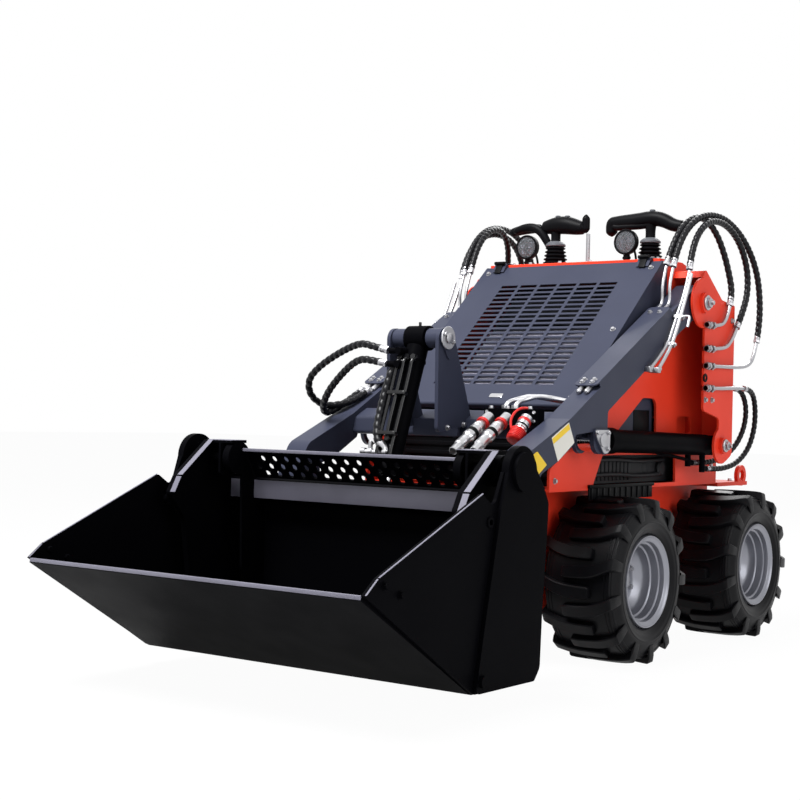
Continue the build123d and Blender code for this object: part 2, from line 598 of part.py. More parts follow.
# ---------------------------------------------------------------- bucket head
with BuildPart() as attach_frame:
    block((-460, 460), (HEAD_BACK_Y, HEAD_BACK_Y + 16), (190, 560))
    for x in (348, 444):
        side_link(x, 12, ATTACH_PIVOT, (HEAD_BACK_Y + 20, 300), 46, 20)
        side_slab(x, 12, [(HEAD_BACK_Y + 8, 200, 0), (HEAD_BACK_Y + 8, 400, 0),
                          (ATTACH_PIVOT[0] - 20, 314, 0), (ATTACH_PIVOT[0] - 20, 234, 0)])
    side_disc(342, 120, ATTACH_PIVOT, 17)
    mirror(about=Plane.YZ)
    for x in (TILT_X - 46, TILT_X + 34):
        side_link(x, 12, TILT_PIN, (HEAD_BACK_Y + 30, 420), 34, 30)
        block((x, x + 12), (HEAD_BACK_Y + 10, HEAD_BACK_Y + 40), (390, 460))
save(attach_frame, "attach_frame")

with BuildPart() as moldboard:
    # curved back sheet, folded forward along the top into a beam
    side_slab(-HEAD_END_X, 2 * HEAD_END_X, [
        (HEAD_BACK_Y, 554, 24), (HEAD_BACK_Y, 120, 50), (-790, 88, 0), (-800, 96, 0),
        (HEAD_BACK_Y - 8, 124, 44), (HEAD_BACK_Y - 8, 490, 20), (-802, 490, 6), (-802, 546, 6),
        (-790, 554, 0),
    ])
    # end plates with their front bands, gussets and the inner plates of the cylinder boxes
    side_slab(HEAD_END_X, 12, [
        (-1062, 508, 14), (-1034, 559, 10), (-903, 664, 16), (-760, 664, 60),
        (HEAD_BACK_Y, 560, 30), (HEAD_BACK_Y, 110, 20), (-800, 96, 10), (-960, 180, 60),
        (-1000, 440, 30),
    ])
    side_slab(HEAD_END_X + 12, 6, [
        (-1062, 508, 14), (-1034, 559, 10), (-903, 664, 0), (-892, 652, 0), (-1022, 548, 0),
        (-1044, 510, 0), (-982, 440, 0), (-950, 240, 0), (-968, 236, 0), (-1000, 440, 30),
    ])
    side_slab(400, 8, [
        (-858, 540, 12), (-862, 640, 12), (-800, 640, 30), (HEAD_BACK_Y, 560, 0),
        (HEAD_BACK_Y, 140, 0), (-800, 160, 10), (-850, 287, 30),
    ])
    side_slab(436, 8, [(-915, 560, 12), (-915, 656, 0), (-842, 656, 0), (-806, 554, 0)])
    block((400, HEAD_END_X), (-905, -842), (656, 664))
    # knuckles and pins
    side_disc(400, 24, JAW_PIVOT, 48)
    side_disc(424, HEAD_END_X + 67 - 424, JAW_PIVOT, 20)
    side_disc(HEAD_END_X, 40, JAW_PIVOT, 42)
    side_disc(HEAD_END_X + 12, 50, JAW_BASE, 12)
    mirror(about=Plane.YZ)
save(moldboard, "moldboard")

guard_top, guard_foot = (-848, 628), (-806, 554)
with BuildPart() as guard:
    side_slab(-392, 784, [
        (-866, 640, 4), (-846, 640, 6), (-800, 554, 0), (-806, 554, 0), (-852, 634, 0),
        (-866, 634, 0),
    ])
    # three staggered rows of round holes
    direction = (0, guard_top[0] - guard_foot[0], guard_top[1] - guard_foot[1])
    middle = ((guard_top[0] + guard_foot[0]) / 2, (guard_top[1] + guard_foot[1]) / 2)
    panel = Plane(origin=place(0, *middle), x_dir=(1, 0, 0),
                  z_dir=Vector(1, 0, 0).cross(Vector(direction)))
    with BuildSketch(panel.offset(-20)) as holes:
        for height, count in ((24, 16), (-2, 17), (-27, 16)):
            with Locations((0, height)):
                with GridLocations(45, 1, count, 1):
                    Circle(10)
    extrude(holes.sketch, amount=40, mode=Mode.SUBTRACT)
save(guard, "guard")

# ---------------------------------------------------------------- clam jaw
with BuildPart() as jaw:
    side_slab(JAW_WALL_X, JAW_PLATE, [
        (-1515, 343, 0), (-1468, 379, 12), (-1041, 560, 12), (-985, 524, 20), (-944, 612, 0),
        (-817, 636, 20), (-767, 577, 20), (-737, 527, 30), (-742, 444, 100), (-757, 259, 200),
        (-764, 94, 30), (-791, 60, 0), (-1061, 60, 30),
    ])
    side_disc(JAW_WALL_X, JAW_PLATE, (-1003, 487), 10, mode=Mode.SUBTRACT)
    side_slab(JAW_WALL_X + JAW_PLATE, 12, [
        (-970, 520, 30), (-940, 612, 0), (-817, 636, 20), (-767, 577, 20), (-737, 527, 30),
        (-742, 444, 100), (-757, 259, 200), (-764, 94, 30), (-791, 62, 12), (-1068, 62, 14),
        (-1030, 243, 60),
    ])
    side_disc(JAW_WALL_X, JAW_PLATE + 12, JAW_PIVOT, 68)
    side_disc(JAW_WALL_X + JAW_PLATE + 12, 12, JAW_PIVOT, 52)
    side_disc(JAW_WALL_X, JAW_PLATE + 12, JAW_PIVOT, 20.05, mode=Mode.SUBTRACT)
    side_disc(JAW_WALL_X - 8, 8, JAW_EYE, 26)
    side_disc(JAW_WALL_X + JAW_PLATE + 12, 10, (-1040, 92), 16)
    mirror(about=Plane.YZ)
    side_slab(-JAW_WALL_X, 2 * JAW_WALL_X, [
        (-764, 60, 0), (-1061, 58, 30), (-1515, 331, 0), (-1511, 341, 0), (-1061, 70, 30),
        (-764, 70, 0),
    ])
save(jaw, "jaw")

with BuildPart() as jaw_barrel:
    side_disc(JAW_CYLINDER_X - 15, 30, JAW_BASE, 22)
    rod(JAW_CYLINDER_X, along(JAW_BASE, JAW_EYE, 14), along(JAW_BASE, JAW_EYE, 230), 22)
    rod(JAW_CYLINDER_X, along(JAW_BASE, JAW_EYE, 40), along(JAW_BASE, JAW_EYE, 230), 11.1,
        mode=Mode.SUBTRACT)
    side_disc(JAW_CYLINDER_X - 15, 30, JAW_BASE, 12.05, mode=Mode.SUBTRACT)
save_pair(jaw_barrel, "jaw_barrel")

with BuildPart() as jaw_rod:
    rod(JAW_CYLINDER_X, along(JAW_BASE, JAW_EYE, 90), along(JAW_BASE, JAW_EYE, 325), 11)
    side_disc(JAW_CYLINDER_X - 13, 26, JAW_EYE, 22)
    side_disc(JAW_CYLINDER_X - 13, 32, JAW_EYE, 12)
save_pair(jaw_rod, "jaw_rod")
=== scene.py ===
"""Looks of the compact skid steer loader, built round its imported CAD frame.

Pieces are drawn in millimetres: x across (left side +), y back from the front axle, z up.
"""
import json
import math

import bmesh
import bpy
from mathutils import Matrix, Vector


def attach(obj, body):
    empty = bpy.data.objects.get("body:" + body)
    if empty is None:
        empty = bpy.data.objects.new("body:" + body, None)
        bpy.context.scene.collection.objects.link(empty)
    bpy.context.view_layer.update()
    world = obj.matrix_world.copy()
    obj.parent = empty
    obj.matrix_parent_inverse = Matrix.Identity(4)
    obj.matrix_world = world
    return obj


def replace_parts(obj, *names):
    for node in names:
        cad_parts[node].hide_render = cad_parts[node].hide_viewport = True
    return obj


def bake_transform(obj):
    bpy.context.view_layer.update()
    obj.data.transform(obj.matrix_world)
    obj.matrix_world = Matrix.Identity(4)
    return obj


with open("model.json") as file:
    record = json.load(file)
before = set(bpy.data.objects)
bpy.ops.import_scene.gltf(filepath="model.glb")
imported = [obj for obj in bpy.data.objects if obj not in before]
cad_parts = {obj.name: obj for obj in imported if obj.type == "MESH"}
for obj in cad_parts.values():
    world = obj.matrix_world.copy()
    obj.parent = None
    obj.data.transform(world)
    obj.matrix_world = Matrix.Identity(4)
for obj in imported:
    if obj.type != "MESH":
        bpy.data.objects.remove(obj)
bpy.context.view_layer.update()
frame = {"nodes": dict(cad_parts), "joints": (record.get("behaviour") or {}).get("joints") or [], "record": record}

# front axle, along the machine
AXLE_Y = next(joint["pos_m"][1] for joint in frame["joints"]
              if joint["name"] == "wheel_front_left_spin")

# ---- dimensions
WHEELBASE = 820.0
TYRE_RADIUS = 257.0
TYRE_MIDDLE = 392.0
LUGS_A_SIDE = 13
LUG_REACH = 44.0        # how far behind the wheel's lowest point the first bar stands
VALVE_TURN = 2.2        # radians round the wheel
ARM_PIVOT = (463.0, 1150.0)
LIFT_BASE = (630.0, 672.0)
ARM_LUG = (-196.0, 690.0)
ARM_ELBOW = (-378.0, 752.0)
ARM_SHOULDER = (434.0, 1202.5)
ATTACH_PIVOT = (-593.0, 274.0)
TOWER_PIN = (-483.0, 985.0)
TILT_PIN = (-683.0, 445.0)
TILT_X = -30.0          # middle of the tilt cylinder
TUBE_X = 469.0          # steel tubes beside the cheeks
DECK_TOP = 1296.0
LAMP_HEIGHT = 1364.0
PANEL_FACE = 345.0
CHEEK_FACE = 456.0
ARM_FACE = 440.0
LEFT, BACK, UP = (1, 0, 0), (0, 1, 0), (0, 0, 1)
SIDES = (("left", 1), ("right", -1))

# ---- camera
CAMERA_AZIMUTH = math.radians(36.39)
CAMERA_PITCH = math.radians(-0.49)
CAMERA_ROLL = math.radians(1.404)
CAMERA_PLACE = (2.662, AXLE_Y - 4.230, 0.757)
CAMERA_LENS = 68.46


def new_object(name, data):
    made = bpy.data.objects.new(name, data)
    bpy.context.scene.collection.objects.link(made)
    return made


def make_camera():
    camera = new_object("camera", bpy.data.cameras.new("camera"))
    camera.data.lens = CAMERA_LENS
    camera.data.sensor_width = 36
    camera.matrix_world = (Matrix.Translation(CAMERA_PLACE)
                           @ Matrix.Rotation(CAMERA_AZIMUTH, 4, "Z")
                           @ Matrix.Rotation(math.pi / 2 - CAMERA_PITCH, 4, "X")
                           @ Matrix.Rotation(CAMERA_ROLL, 4, "Z"))
    bpy.context.scene.camera = camera


# ---- materials
def new_material(name):
    material = bpy.data.materials.new(name)
    material.use_nodes = True
    return material, material.node_tree.nodes, material.node_tree.links


def give(node, **values):
    """Sets a node's own sockets; an underscore stands for a blank in a socket's name."""
    for socket, value in values.items():
        node.inputs[socket.replace("_", " ")].default_value = value


def noise(nodes, links, place, scale, detail=2):
    texture = nodes.new("ShaderNodeTexNoise")
    give(texture, Scale=scale, Detail=detail)
    links.new(place.outputs["Object"], texture.inputs["Vector"])
    return texture.outputs["Fac"]


def bumpy(nodes, links, height, strength, distance, shader):
    bump = nodes.new("ShaderNodeBump")
    give(bump, Strength=strength, Distance=distance)
    links.new(height, bump.inputs["Height"])
    links.new(bump.outputs["Normal"], shader.inputs["Normal"])


def uneven(nodes, links, pattern, low, high, shader):
    """Roughness that varies with a pattern between two values."""
    dull = nodes.new("ShaderNodeMapRange")
    give(dull, To_Min=low, To_Max=high)
    links.new(pattern, dull.inputs["Value"])
    links.new(dull.outputs["Result"], shader.inputs["Roughness"])


def painted(name, colour, roughness, coat=0.0, grime=0.2, peel=0.04, gloss=0.5, metallic=0.0):
    """Powder coat or moulding: a little orange peel, and soft patches of dulling and dust."""
    material, nodes, links = new_material(name)
    shader = nodes["Principled BSDF"]
    give(shader, Coat_Weight=coat, Coat_Roughness=0.12, Specular_IOR_Level=gloss,
         Metallic=metallic)
    place = nodes.new("ShaderNodeTexCoord")
    patches = noise(nodes, links, place, 7, 6)
    shade = nodes.new("ShaderNodeMix")
    shade.data_type = "RGBA"
    give(shade, A=(*colour, 1), B=(*[c * (1 - grime) for c in colour], 1))
    links.new(patches, shade.inputs["Factor"])
    links.new(shade.outputs["Result"], shader.inputs["Base Color"])
    uneven(nodes, links, patches, max(roughness - 0.06, 0.02), roughness + 0.1, shader)
    bumpy(nodes, links, noise(nodes, links, place, 420), peel, 0.001, shader)
    return material


def metal(name, colour, roughness):
    """Bare or plated metal with faint uneven polish."""
    material, nodes, links = new_material(name)
    shader = nodes["Principled BSDF"]
    give(shader, Metallic=1, Base_Color=(*colour, 1))
    place = nodes.new("ShaderNodeTexCoord")
    uneven(nodes, links, noise(nodes, links, place, 60), roughness * 0.7, roughness * 1.3, shader)
    return material


def clear(name):
    """Thin clear lens."""
    material, nodes, links = new_material(name)
    give(nodes["Principled BSDF"], Base_Color=(0.5, 0.52, 0.56, 1), Transmission_Weight=0.9,
         Roughness=0.05, IOR=1.3)
    return material


MATERIALS = {
    "red_paint": painted("red_paint", (0.76, 0.044, 0.018), 0.38, grime=0.1, gloss=0.14),
    "slate_paint": painted("slate_paint", (0.036, 0.04, 0.064), 0.34, gloss=0.09),
    "black_steel": painted("black_steel", (0.0018, 0.0018, 0.0025), 0.42, gloss=0.009),
    "dark_iron": painted("dark_iron", (0.014, 0.014, 0.016), 0.5, peel=0.1, gloss=0.15),
    "chrome": metal("chrome", (0.7, 0.7, 0.72), 0.14),
    "tyre": painted("tyre", (0.0038, 0.0038, 0.0048), 0.34, peel=0.1, gloss=0.1),
    "rim": painted("rim", (0.26, 0.265, 0.3), 0.34, coat=0.1, grime=0.15, metallic=0.75),
    "black_plastic": painted("black_plastic", (0.0034, 0.0034, 0.0042), 0.4, gloss=0.05),
    "zinc": metal("zinc", (0.42, 0.42, 0.44), 0.38),
    "hose_rubber": painted("hose_rubber", (0.005, 0.005, 0.0065), 0.3, gloss=0.16),
    "sticker_white": painted("sticker_white", (0.68, 0.66, 0.6), 0.4, 0, 0.04, 0, 0.3),
    "sticker_yellow": painted("sticker_yellow", (0.78, 0.52, 0.02), 0.4, 0, 0.04, 0, 0.3),
    "grey_plastic": painted("grey_plastic", (0.09, 0.094, 0.105), 0.45, gloss=0.2),
    "cap_red": painted("cap_red", (0.5, 0.012, 0.01), 0.35, grime=0.05, gloss=0.3),
    # light grey paint for the strips of painted highlight along the bucket's edges
    "edge_highlight_paint": painted("edge_highlight_paint", (0.17, 0.165, 0.21), 0.4, grime=0.4, gloss=0.3),
    # the cooler's grey, raised to paint in the light that falls through the hood's slots
    "core_grey": painted("core_grey", (0.62, 0.6, 0.68), 0.5, peel=0.0, gloss=0.3),
    "gloss_black": painted("gloss_black", (0.0035, 0.0035, 0.0045), 0.2, gloss=0.4),
    "nickel": metal("nickel", (0.55, 0.55, 0.57), 0.32),
    "dark_chrome": metal("dark_chrome", (0.1, 0.1, 0.115), 0.2),
    "lens": clear("lens"),
}


SLOTS = {part["node"]: part["material_slot"] for part in frame["record"]["subparts"]}


def dress_nodes():
    for name, node in frame["nodes"].items():
        node.data.materials.clear()
        node.data.materials.append(MATERIALS[SLOTS[name]])


# ---- drawing pieces
def vectors(points):
    return [Vector(point) for point in points]


def in_frame(x, y, z):
    """Point in metres in the frame's own place."""
    return (x / 1000, y / 1000 + AXLE_Y, z / 1000)


def curve(start, bend, end, steps):
    """Points from start to end along the curve whose tangents meet at bend."""
    return [(1 - t) ** 2 * start + 2 * t * (1 - t) * bend + t ** 2 * end
            for t in (i / steps for i in range(steps + 1))]


def smooth_route(points, step=3.0):
    """Points every few millimetres along the curve that a hose takes between its bends."""
    points = vectors(points)
    if len(points) < 3:
        return points
    middles = [points[0]] + [(a + b) / 2 for a, b in zip(points[1:], points[2:-1])] + [points[-1]]
    route = [points[0]]
    for start, bend, end in zip(middles, points[1:-1], middles[1:]):
        length = (bend - start).length + (end - bend).length
        route += curve(start, bend, end, max(2, round(length / step)))[1:]
    return route


def rounded(corners):
    """Closed outline from (u, v, corner radius) points, with its corners rounded."""
    line = []
    for i, corner in enumerate(corners):
        here, radius = Vector(corner[:2]), corner[2]
        back, ahead = [Vector(corners[k % len(corners)][:2]) - here for k in (i - 1, i + 1)]
        if radius <= 0:
            line.append(here)
            continue
        reach = min(radius / math.tan(back.angle(ahead) / 2), 0.48 * back.length,
                    0.48 * ahead.length)
        line += curve(here + reach * back.normalized(), here,
                      here + reach * ahead.normalized(), 5)
    return line


def rectangle(low, high, radius=0):
    """Corners of a rectangle from its lowest (u, v) point to its highest."""
    return [(*low, radius), (high[0], low[1], radius), (*high, radius), (low[0], high[1], radius)]


ARM_SLOPE = math.atan2(ARM_SHOULDER[1] - ARM_ELBOW[1], ARM_SHOULDER[0] - ARM_ELBOW[0])


def arm_top(distance, height=0.0):
    """Side view point along the arm's top edge from the elbow, and above that edge."""
    return (ARM_ELBOW[0] + distance * math.cos(ARM_SLOPE) - height * math.sin(ARM_SLOPE),
            ARM_ELBOW[1] + distance * math.sin(ARM_SLOPE) + height * math.cos(ARM_SLOPE))


class Piece:
    """One mesh, drawn shape by shape."""

    def __init__(self):
        self.mesh = bmesh.new()

    def skin(self, rings, closed=False):
        """Joins rings of points; a ring of one point closes to a tip."""
        made = [[self.mesh.verts.new(point) for point in ring] for ring in rings]
        pairs = list(zip(made, made[1:]))
        if closed:
            pairs.append((made[-1], made[0]))
        for a, b in pairs:
            for i in range(max(len(a), len(b))):
                corners = (a[i % len(a)], a[(i + 1) % len(a)], b[(i + 1) % len(b)], b[i % len(b)])
                corners = list(dict.fromkeys(corners))
                if len(corners) > 2:
                    self.mesh.faces.new(corners)
        return made

    def turned(self, profile, origin, direction, sides=32):
        """Turned solid from (distance along, radius) points; radius 0 closes an end."""
        w = Vector(direction).normalized()
        u = w.orthogonal().normalized()
        v = w.cross(u)
        spokes = [math.cos(math.tau * k / sides) * u + math.sin(math.tau * k / sides) * v
                  for k in range(sides)]
        rings = [[Vector(origin) + distance * w + radius * spoke
                  for spoke in (spokes if radius > 0 else spokes[:1])]
                 for distance, radius in profile]
        self.skin(rings, closed=profile[0][1] > 0)

    def disc(self, outside, origin, direction, sides=32):
        """Turned solid with flat ends, from its outside's (distance, radius) points."""
        self.turned([(outside[0][0], 0), *outside, (outside[-1][0], 0)], origin, direction, sides)

    def bar(self, start, end, radius, sides=20):
        """Round bar between two points, with eased ends."""
        way = Vector(end) - Vector(start)
        length = way.length
        chamfer = min(0.8, radius / 3, length / 3)
        self.disc([(0, radius - chamfer), (chamfer, radius), (length - chamfer, radius),
                   (length, radius - chamfer)], start, way, sides)

    def hexagon(self, start, direction, width, height):
        """Hexagonal nut or bolt head with a chamfered top."""
        corner = width / math.sqrt(3)
        self.disc([(0, corner), (height * 0.8, corner), (height, corner * 0.88)], start, direction, 6)

    def bolt(self, start, direction, width=13.0):
        """Washer and hexagonal head, seated on a surface."""
        w = Vector(direction).normalized()
        self.disc([(0, width * 0.78), (1.6, width * 0.78)], start, w, 20)
        self.hexagon(Vector(start) + 1.6 * w, w, width, width * 0.55)

    def bolts(self, places, direction, width=13.0):
        for place in places:
            self.bolt(place, direction, width)

    def ease(self, faces, bevel, segments=2):
        """Bevels the faces' edges; a bevel of 0 leaves them sharp."""
        if bevel:
            edges = {edge for face in faces for edge in face.edges}
            bmesh.ops.bevel(self.mesh, geom=list(edges), offset=bevel, segments=segments,
                            profile=0.5, affect="EDGES", clamp_overlap=True)

    def extruded(self, corners, origin, u, v, thickness, bevel=0.0, segments=2):
        """Plate drawn in the plane of u and v at origin, thickened along u x v."""
        u, v = Vector(u).normalized(), Vector(v).normalized()
        rise = u.cross(v) * thickness
        line = [Vector(origin) + p[0] * u + p[1] * v for p in rounded(corners)]
        foot = [self.mesh.verts.new(point) for point in line]
        head = [self.mesh.verts.new(point + rise) for point in line]
        count = len(line)
        faces = [self.mesh.faces.new(list(reversed(foot))), self.mesh.faces.new(head)]
        for i in range(count):
            k = (i + 1) % count
            faces.append(self.mesh.faces.new((foot[i], foot[k], head[k], head[i])))
        self.ease(faces[:2], bevel, segments)

    def slab(self, x_span, corners, bevel=0.0, segments=2):
        """Plate drawn in side view, between two values of x."""
        self.extruded(corners, (x_span[0], 0, 0), BACK, UP, x_span[1] - x_span[0], bevel, segments)

    def block(self, x_span, y_span, z_span, bevel=1.0):
        """Box between two values of x, y and z, with eased edges."""
        made = bmesh.ops.create_cube(self.mesh, size=1.0)["verts"]
        spans = (x_span, y_span, z_span)
        for vertex in made:
            vertex.co = Vector([sum(span) / 2 + c * (span[1] - span[0])
                                for c, span in zip(vertex.co, spans)])
        self.ease({face for vertex in made for face in vertex.link_faces}, bevel)

    def sweep(self, route, radius, sides=14):
        """Tube along a route; radius is a number, or a function of distance and turn."""
        route = vectors(route)
        size = radius if callable(radius) else lambda distance, turn: radius
        heading = (route[1] - route[0]).normalized()
        across = heading.orthogonal().normalized()
        rings, distance = [], 0.0
        for i, point in enumerate(route):
            if i:
                distance += (point - route[i - 1]).length
            ahead = (route[min(i + 1, len(route) - 1)] - route[max(i - 1, 0)]).normalized()
            across = (across - across.dot(ahead) * ahead).normalized()
            other = ahead.cross(across)
            ring = []
            for k in range(sides):
                turn = math.tau * k / sides
                reach = size(distance, k / sides)
                ring.append(point + reach * (math.cos(turn) * across + math.sin(turn) * other))
            rings.append(ring)
        self.skin([[route[0]], *rings, [route[-1]]])

    def tube(self, points, radius, sides=14):
        """Tube along the curve between bends."""
        self.sweep(smooth_route(points), radius, sides)

    def mirrored(self):
        """Adds the mirror image on the machine's other side, and returns the piece."""
        kept = self.mesh.verts[:] + self.mesh.edges[:] + self.mesh.faces[:]
        made = bmesh.ops.duplicate(self.mesh, geom=kept)["geom"]
        twins = [item for item in made if isinstance(item, bmesh.types.BMVert)]
        for vertex in twins:
            vertex.co.x = -vertex.co.x
        bmesh.ops.reverse_faces(self.mesh, faces=[item for item in made
                                                  if isinstance(item, bmesh.types.BMFace)])
        return self

    def done(self, name, material, body="chassis", blend=None):
        """Makes the object in metres and shades it; it rides on its body, or, when a blend is given, stays in
        place on no body.
        """
        for vertex in self.mesh.verts:
            vertex.co = in_frame(*vertex.co)
        bmesh.ops.recalc_face_normals(self.mesh, faces=self.mesh.faces[:])
        data = bpy.data.meshes.new(name)
        self.mesh.to_mesh(data)
        self.mesh.free()
        piece = new_object(name, data)
        data.shade_smooth()
        data.set_sharp_from_angle(angle=math.radians(32))
        data.materials.append(MATERIALS[material])
        if blend:
            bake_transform(piece)
        else:
            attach(piece, body)
        return piece


# ---- wheels
def round_axle(x, axle_y, radius, turn):
    """Point at a radius and a turn round a wheel's axle."""
    return (x, axle_y + radius * math.cos(turn), TYRE_RADIUS + radius * math.sin(turn))


def tyre_mesh(side, axle_y):
    """Casing with sidewall lines and shoulder ribs, and bent bars from each shoulder."""
    piece = Piece()
    middle, centre = side * TYRE_MIDDLE, (side * TYRE_MIDDLE, axle_y, TYRE_RADIUS)
    half = [(104, 128.3), (107.6, 130), (107.6, 142), (109.5, 144.5), (114, 147), (119, 156),
            (122, 163), (122.8, 164), (124.5, 172), (125.8, 180), (127, 181.5), (127, 184.5),
            (126, 186), (126, 194), (123.5, 201), (120, 210), (115.5, 219), (114, 223),
            (114.8, 224.5), (112.5, 229), (110.8, 229.5), (109.6, 231.6), (110, 233.4), (108, 236),
            (105.5, 235.4), (102, 236.2), (101.5, 238), (98.5, 238.3), (97.8, 236.8), (92, 237),
            (91.2, 238.6), (88.5, 238.7), (87.8, 237), (60, 237.6)]
    piece.turned([*[(-x, r) for x, r in half], (0, 238), *reversed(half)], centre, LEFT, 104)
    first = math.acos(LUG_REACH / TYRE_RADIUS)
    # (distance past the middle, lower edge, upper edge, outer radius) of each bar's stations
    stations = [(-47.5, -20, 0, 249), (-46, -25, 5, 254), (-41, -28, 8, 256), (-20, -28.5, 9, 256.8),
                (10, -28, 10.5, 256.8), (40, -26, 13, 256.7), (64, -20, 18, 256.4),
                (84, -12, 24.5, 256), (102, -3, 32, 255.2), (116, 3.5, 39, 254), (121, 6, 41.5, 251),
                (125.5, 8, 41, 234), (126.5, 10, 40, 216), (127, 12, 38, 203)]
    for across in (1, -1):
        for step in range(LUGS_A_SIDE):
            turn = math.tau * (step + (across < 0) / 2) / LUGS_A_SIDE - first
            rings = []
            for x, low, high, top in stations:
                foot = min(233.0, top - 14) if x < 110 else max(196.0, top - 26)
                section = ((low - 2.5, foot), (low, top - 3), (low + 3, top), (high - 3, top),
                           (high, top - 3), (high + 2.5, foot))
                rings.append([round_axle(middle + across * side * x, axle_y, radius,
                                         turn - y / TYRE_RADIUS) for y, radius in section])
            made = piece.skin(rings)
            for ring in (made[0], made[-1]):
                piece.mesh.faces.new(ring)
    return piece


def rim_mesh(side, axle_y):
    """Rolled lips and a deep dish pressed in steps."""
    piece = Piece()
    dish = [(508, 142.6), (511, 141), (511, 138.5), (508.5, 136.5), (505, 131), (503, 126),
            (501, 123.5), (494, 122), (487, 121.4), (485.5, 119), (484.5, 115.6), (478, 114.4),
            (462, 113), (459.5, 110.5), (458.5, 107.6), (452, 106.8), (438, 105.4), (431, 101),
            (423, 92), (417, 86.5), (413.5, 82), (412, 74), (410.5, 60), (410, 0), (402, 0),
            (405, 88), (428, 116), (284, 116), (274, 137), (273, 141), (275, 143), (284, 143),
            (284, 128), (500, 128), (500, 143)]
    piece.turned(dish, (0, axle_y, TYRE_RADIUS), (side, 0, 0), 96)
    return piece


def rim_fittings(side, axle_y):
    """Hub, bolts and valve in the wheel's dish."""
    piece = Piece()
    outward = (side, 0, 0)
    # flange of the hub with its bolts, and the cap over the shaft
    piece.disc([(0, 62), (3, 62), (4, 60), (4, 34), (9, 31), (20, 29), (22, 27), (22, 12), (20, 10)],
               (side * 409, axle_y, TYRE_RADIUS), outward, 48)
    piece.bolts([round_axle(side * 410, axle_y, 74, math.tau * (k + 0.5) / 8)
                 for k in range(8)], outward, 15)
    # valve, leaning outward from the dish
    piece.bar(round_axle(side * 428, axle_y, 96, VALVE_TURN),
              round_axle(side * 462, axle_y, 100, VALVE_TURN), 4)
    return piece


for end, axle_y in (("front", 0.0), ("rear", WHEELBASE)):
    for side_name, side in SIDES:
        body = f"wheel_{end}_{side_name}"
        tyre = tyre_mesh(side, axle_y).done(f"tread_{end}_{side_name}", "tyre", body)
        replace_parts(tyre, f"tyre_{end}_{side_name}")
        rim = rim_mesh(side, axle_y).done(f"dish_{end}_{side_name}", "rim", body)
        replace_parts(rim, f"rim_{end}_{side_name}")
        rim_fittings(side, axle_y).done(f"rim_fittings_{end}_{side_name}", "zinc", body)


# ---- hoses and tubes
def wrapped(radius, band, pitch):
    """Radius of a hose with a spiral guard round it."""
    def size(distance, turn):
        phase = (distance / pitch + turn) % 1.0
        edge = min(phase, 1 - phase) * 2
        return radius + band * min(1.0, max(0.0, (edge - 0.3) * 5))
    return size


def ferrule(piece, point, toward, radius, length):
    """Crimped collar and swivel nut at the end of a hose."""
    piece.disc([(0, radius * 0.7), (3, radius * 0.75), (4, radius), (8, radius * 1.04),
                (9, radius * 0.98), (12, radius * 1.04), (13, radius * 0.98), (16, radius * 1.04),
                (17, radius * 0.98), (length - 8, radius * 1.04), (length - 4, radius * 0.95),
                (length, radius * 0.9)], point, toward - point, 20)


def hose_end(piece, line, last, radius, length=34.0, width=21, height=10):
    """Ferrule and nut where a hose's line starts, or where it ends."""
    point, nut_aim, collar_aim = [line[i] for i in ((-1, -6, -12) if last else (0, 6, 11))]
    ferrule(piece, point, collar_aim, radius, length)
    piece.hexagon(point, nut_aim - point, width, height)


ARM_HOSES = [
    [(453, 354, 1252), (451, 372, 1310), (449, 420, 1378), (447, 495, 1424), (445, 585, 1440),
     (448, 680, 1424), (454, 758, 1372), (462, 800, 1290), (468, 790, 1204), (470, 742, 1132),
     (469, 701.2, 1079.5)],
    [(414, 313, 1259), (416, 336, 1318), (420, 390, 1388), (426, 470, 1440), (432, 570, 1462),
     (438, 680, 1452), (446, 780, 1408), (455, 856, 1340), (463, 900, 1250), (469, 903, 1115),
     (469, 872.7, 1037.8)],
    [(388, 316, 1266), (392, 344, 1326), (398, 400, 1398), (404, 480, 1444), (411, 560, 1446),
     (424, 620, 1402), (440, 650, 1334), (456, 660, 1262), (468, 661, 1199), (469, 640.8, 1152.8)],
]
LIFT_HOSES = [
    [(469, 771, 872), (468, 820, 871), (464, 872, 848), (459, 902, 792), (455, 902, 724),
     (450, 866, 658), (440, 796, 610), (426, 722, 592), (414, 656, 590), (412, 601, 592)],
    [(430, 777, 872), (430, 820, 871), (431, 862, 846), (434, 880, 796), (432, 866, 730),
     (424, 816, 668), (408, 746, 628), (393, 672, 613), (388, 602, 611), (388, 541, 612)],
]
TILT_HOSES = [
    [(-388, *arm_top(140, 13)), (-392, *arm_top(70, 15)), (-414, -376, 780), (-450, -424, 774),
     (-470, -470, 808), (-452, -500, 858), (-398, -512, 898), (-322, -524, 934), (-244, -542, 960),
     (-190, -556, 968), (-140, -562, 956), (-90, -560, 945)],
    [(-416, *arm_top(140, 13)), (-418, *arm_top(70, 15)), (-430, -372, 770), (-440, -422, 748),
     (-418, -468, 772), (-368, -502, 820), (-306, -524, 866), (-240, -548, 904), (-190, -562, 920),
     (-140, -568, 914), (-90, -566, 905)],
]

arm_hoses, arm_ends, frame_ends = Piece(), Piece(), Piece()
for route in ARM_HOSES:
    line = smooth_route(route)
    arm_hoses.sweep(line[6:-6], wrapped(9.9, 1.5, 21), 14)
    hose_end(arm_ends, line, False, 10.4)
    hose_end(frame_ends, line, True, 10.4)
guards = arm_hoses.mirrored().done("arm_hose_guards", "hose_rubber", blend=(
    "arms", "chassis", in_frame(0, 330, 1200), in_frame(0, 800, 1200)))
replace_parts(guards, "arm_hoses")
arm_ends.mirrored().done("arm_hose_ends", "zinc", "arms")
frame_ends.mirrored().done("frame_hose_ends", "zinc")

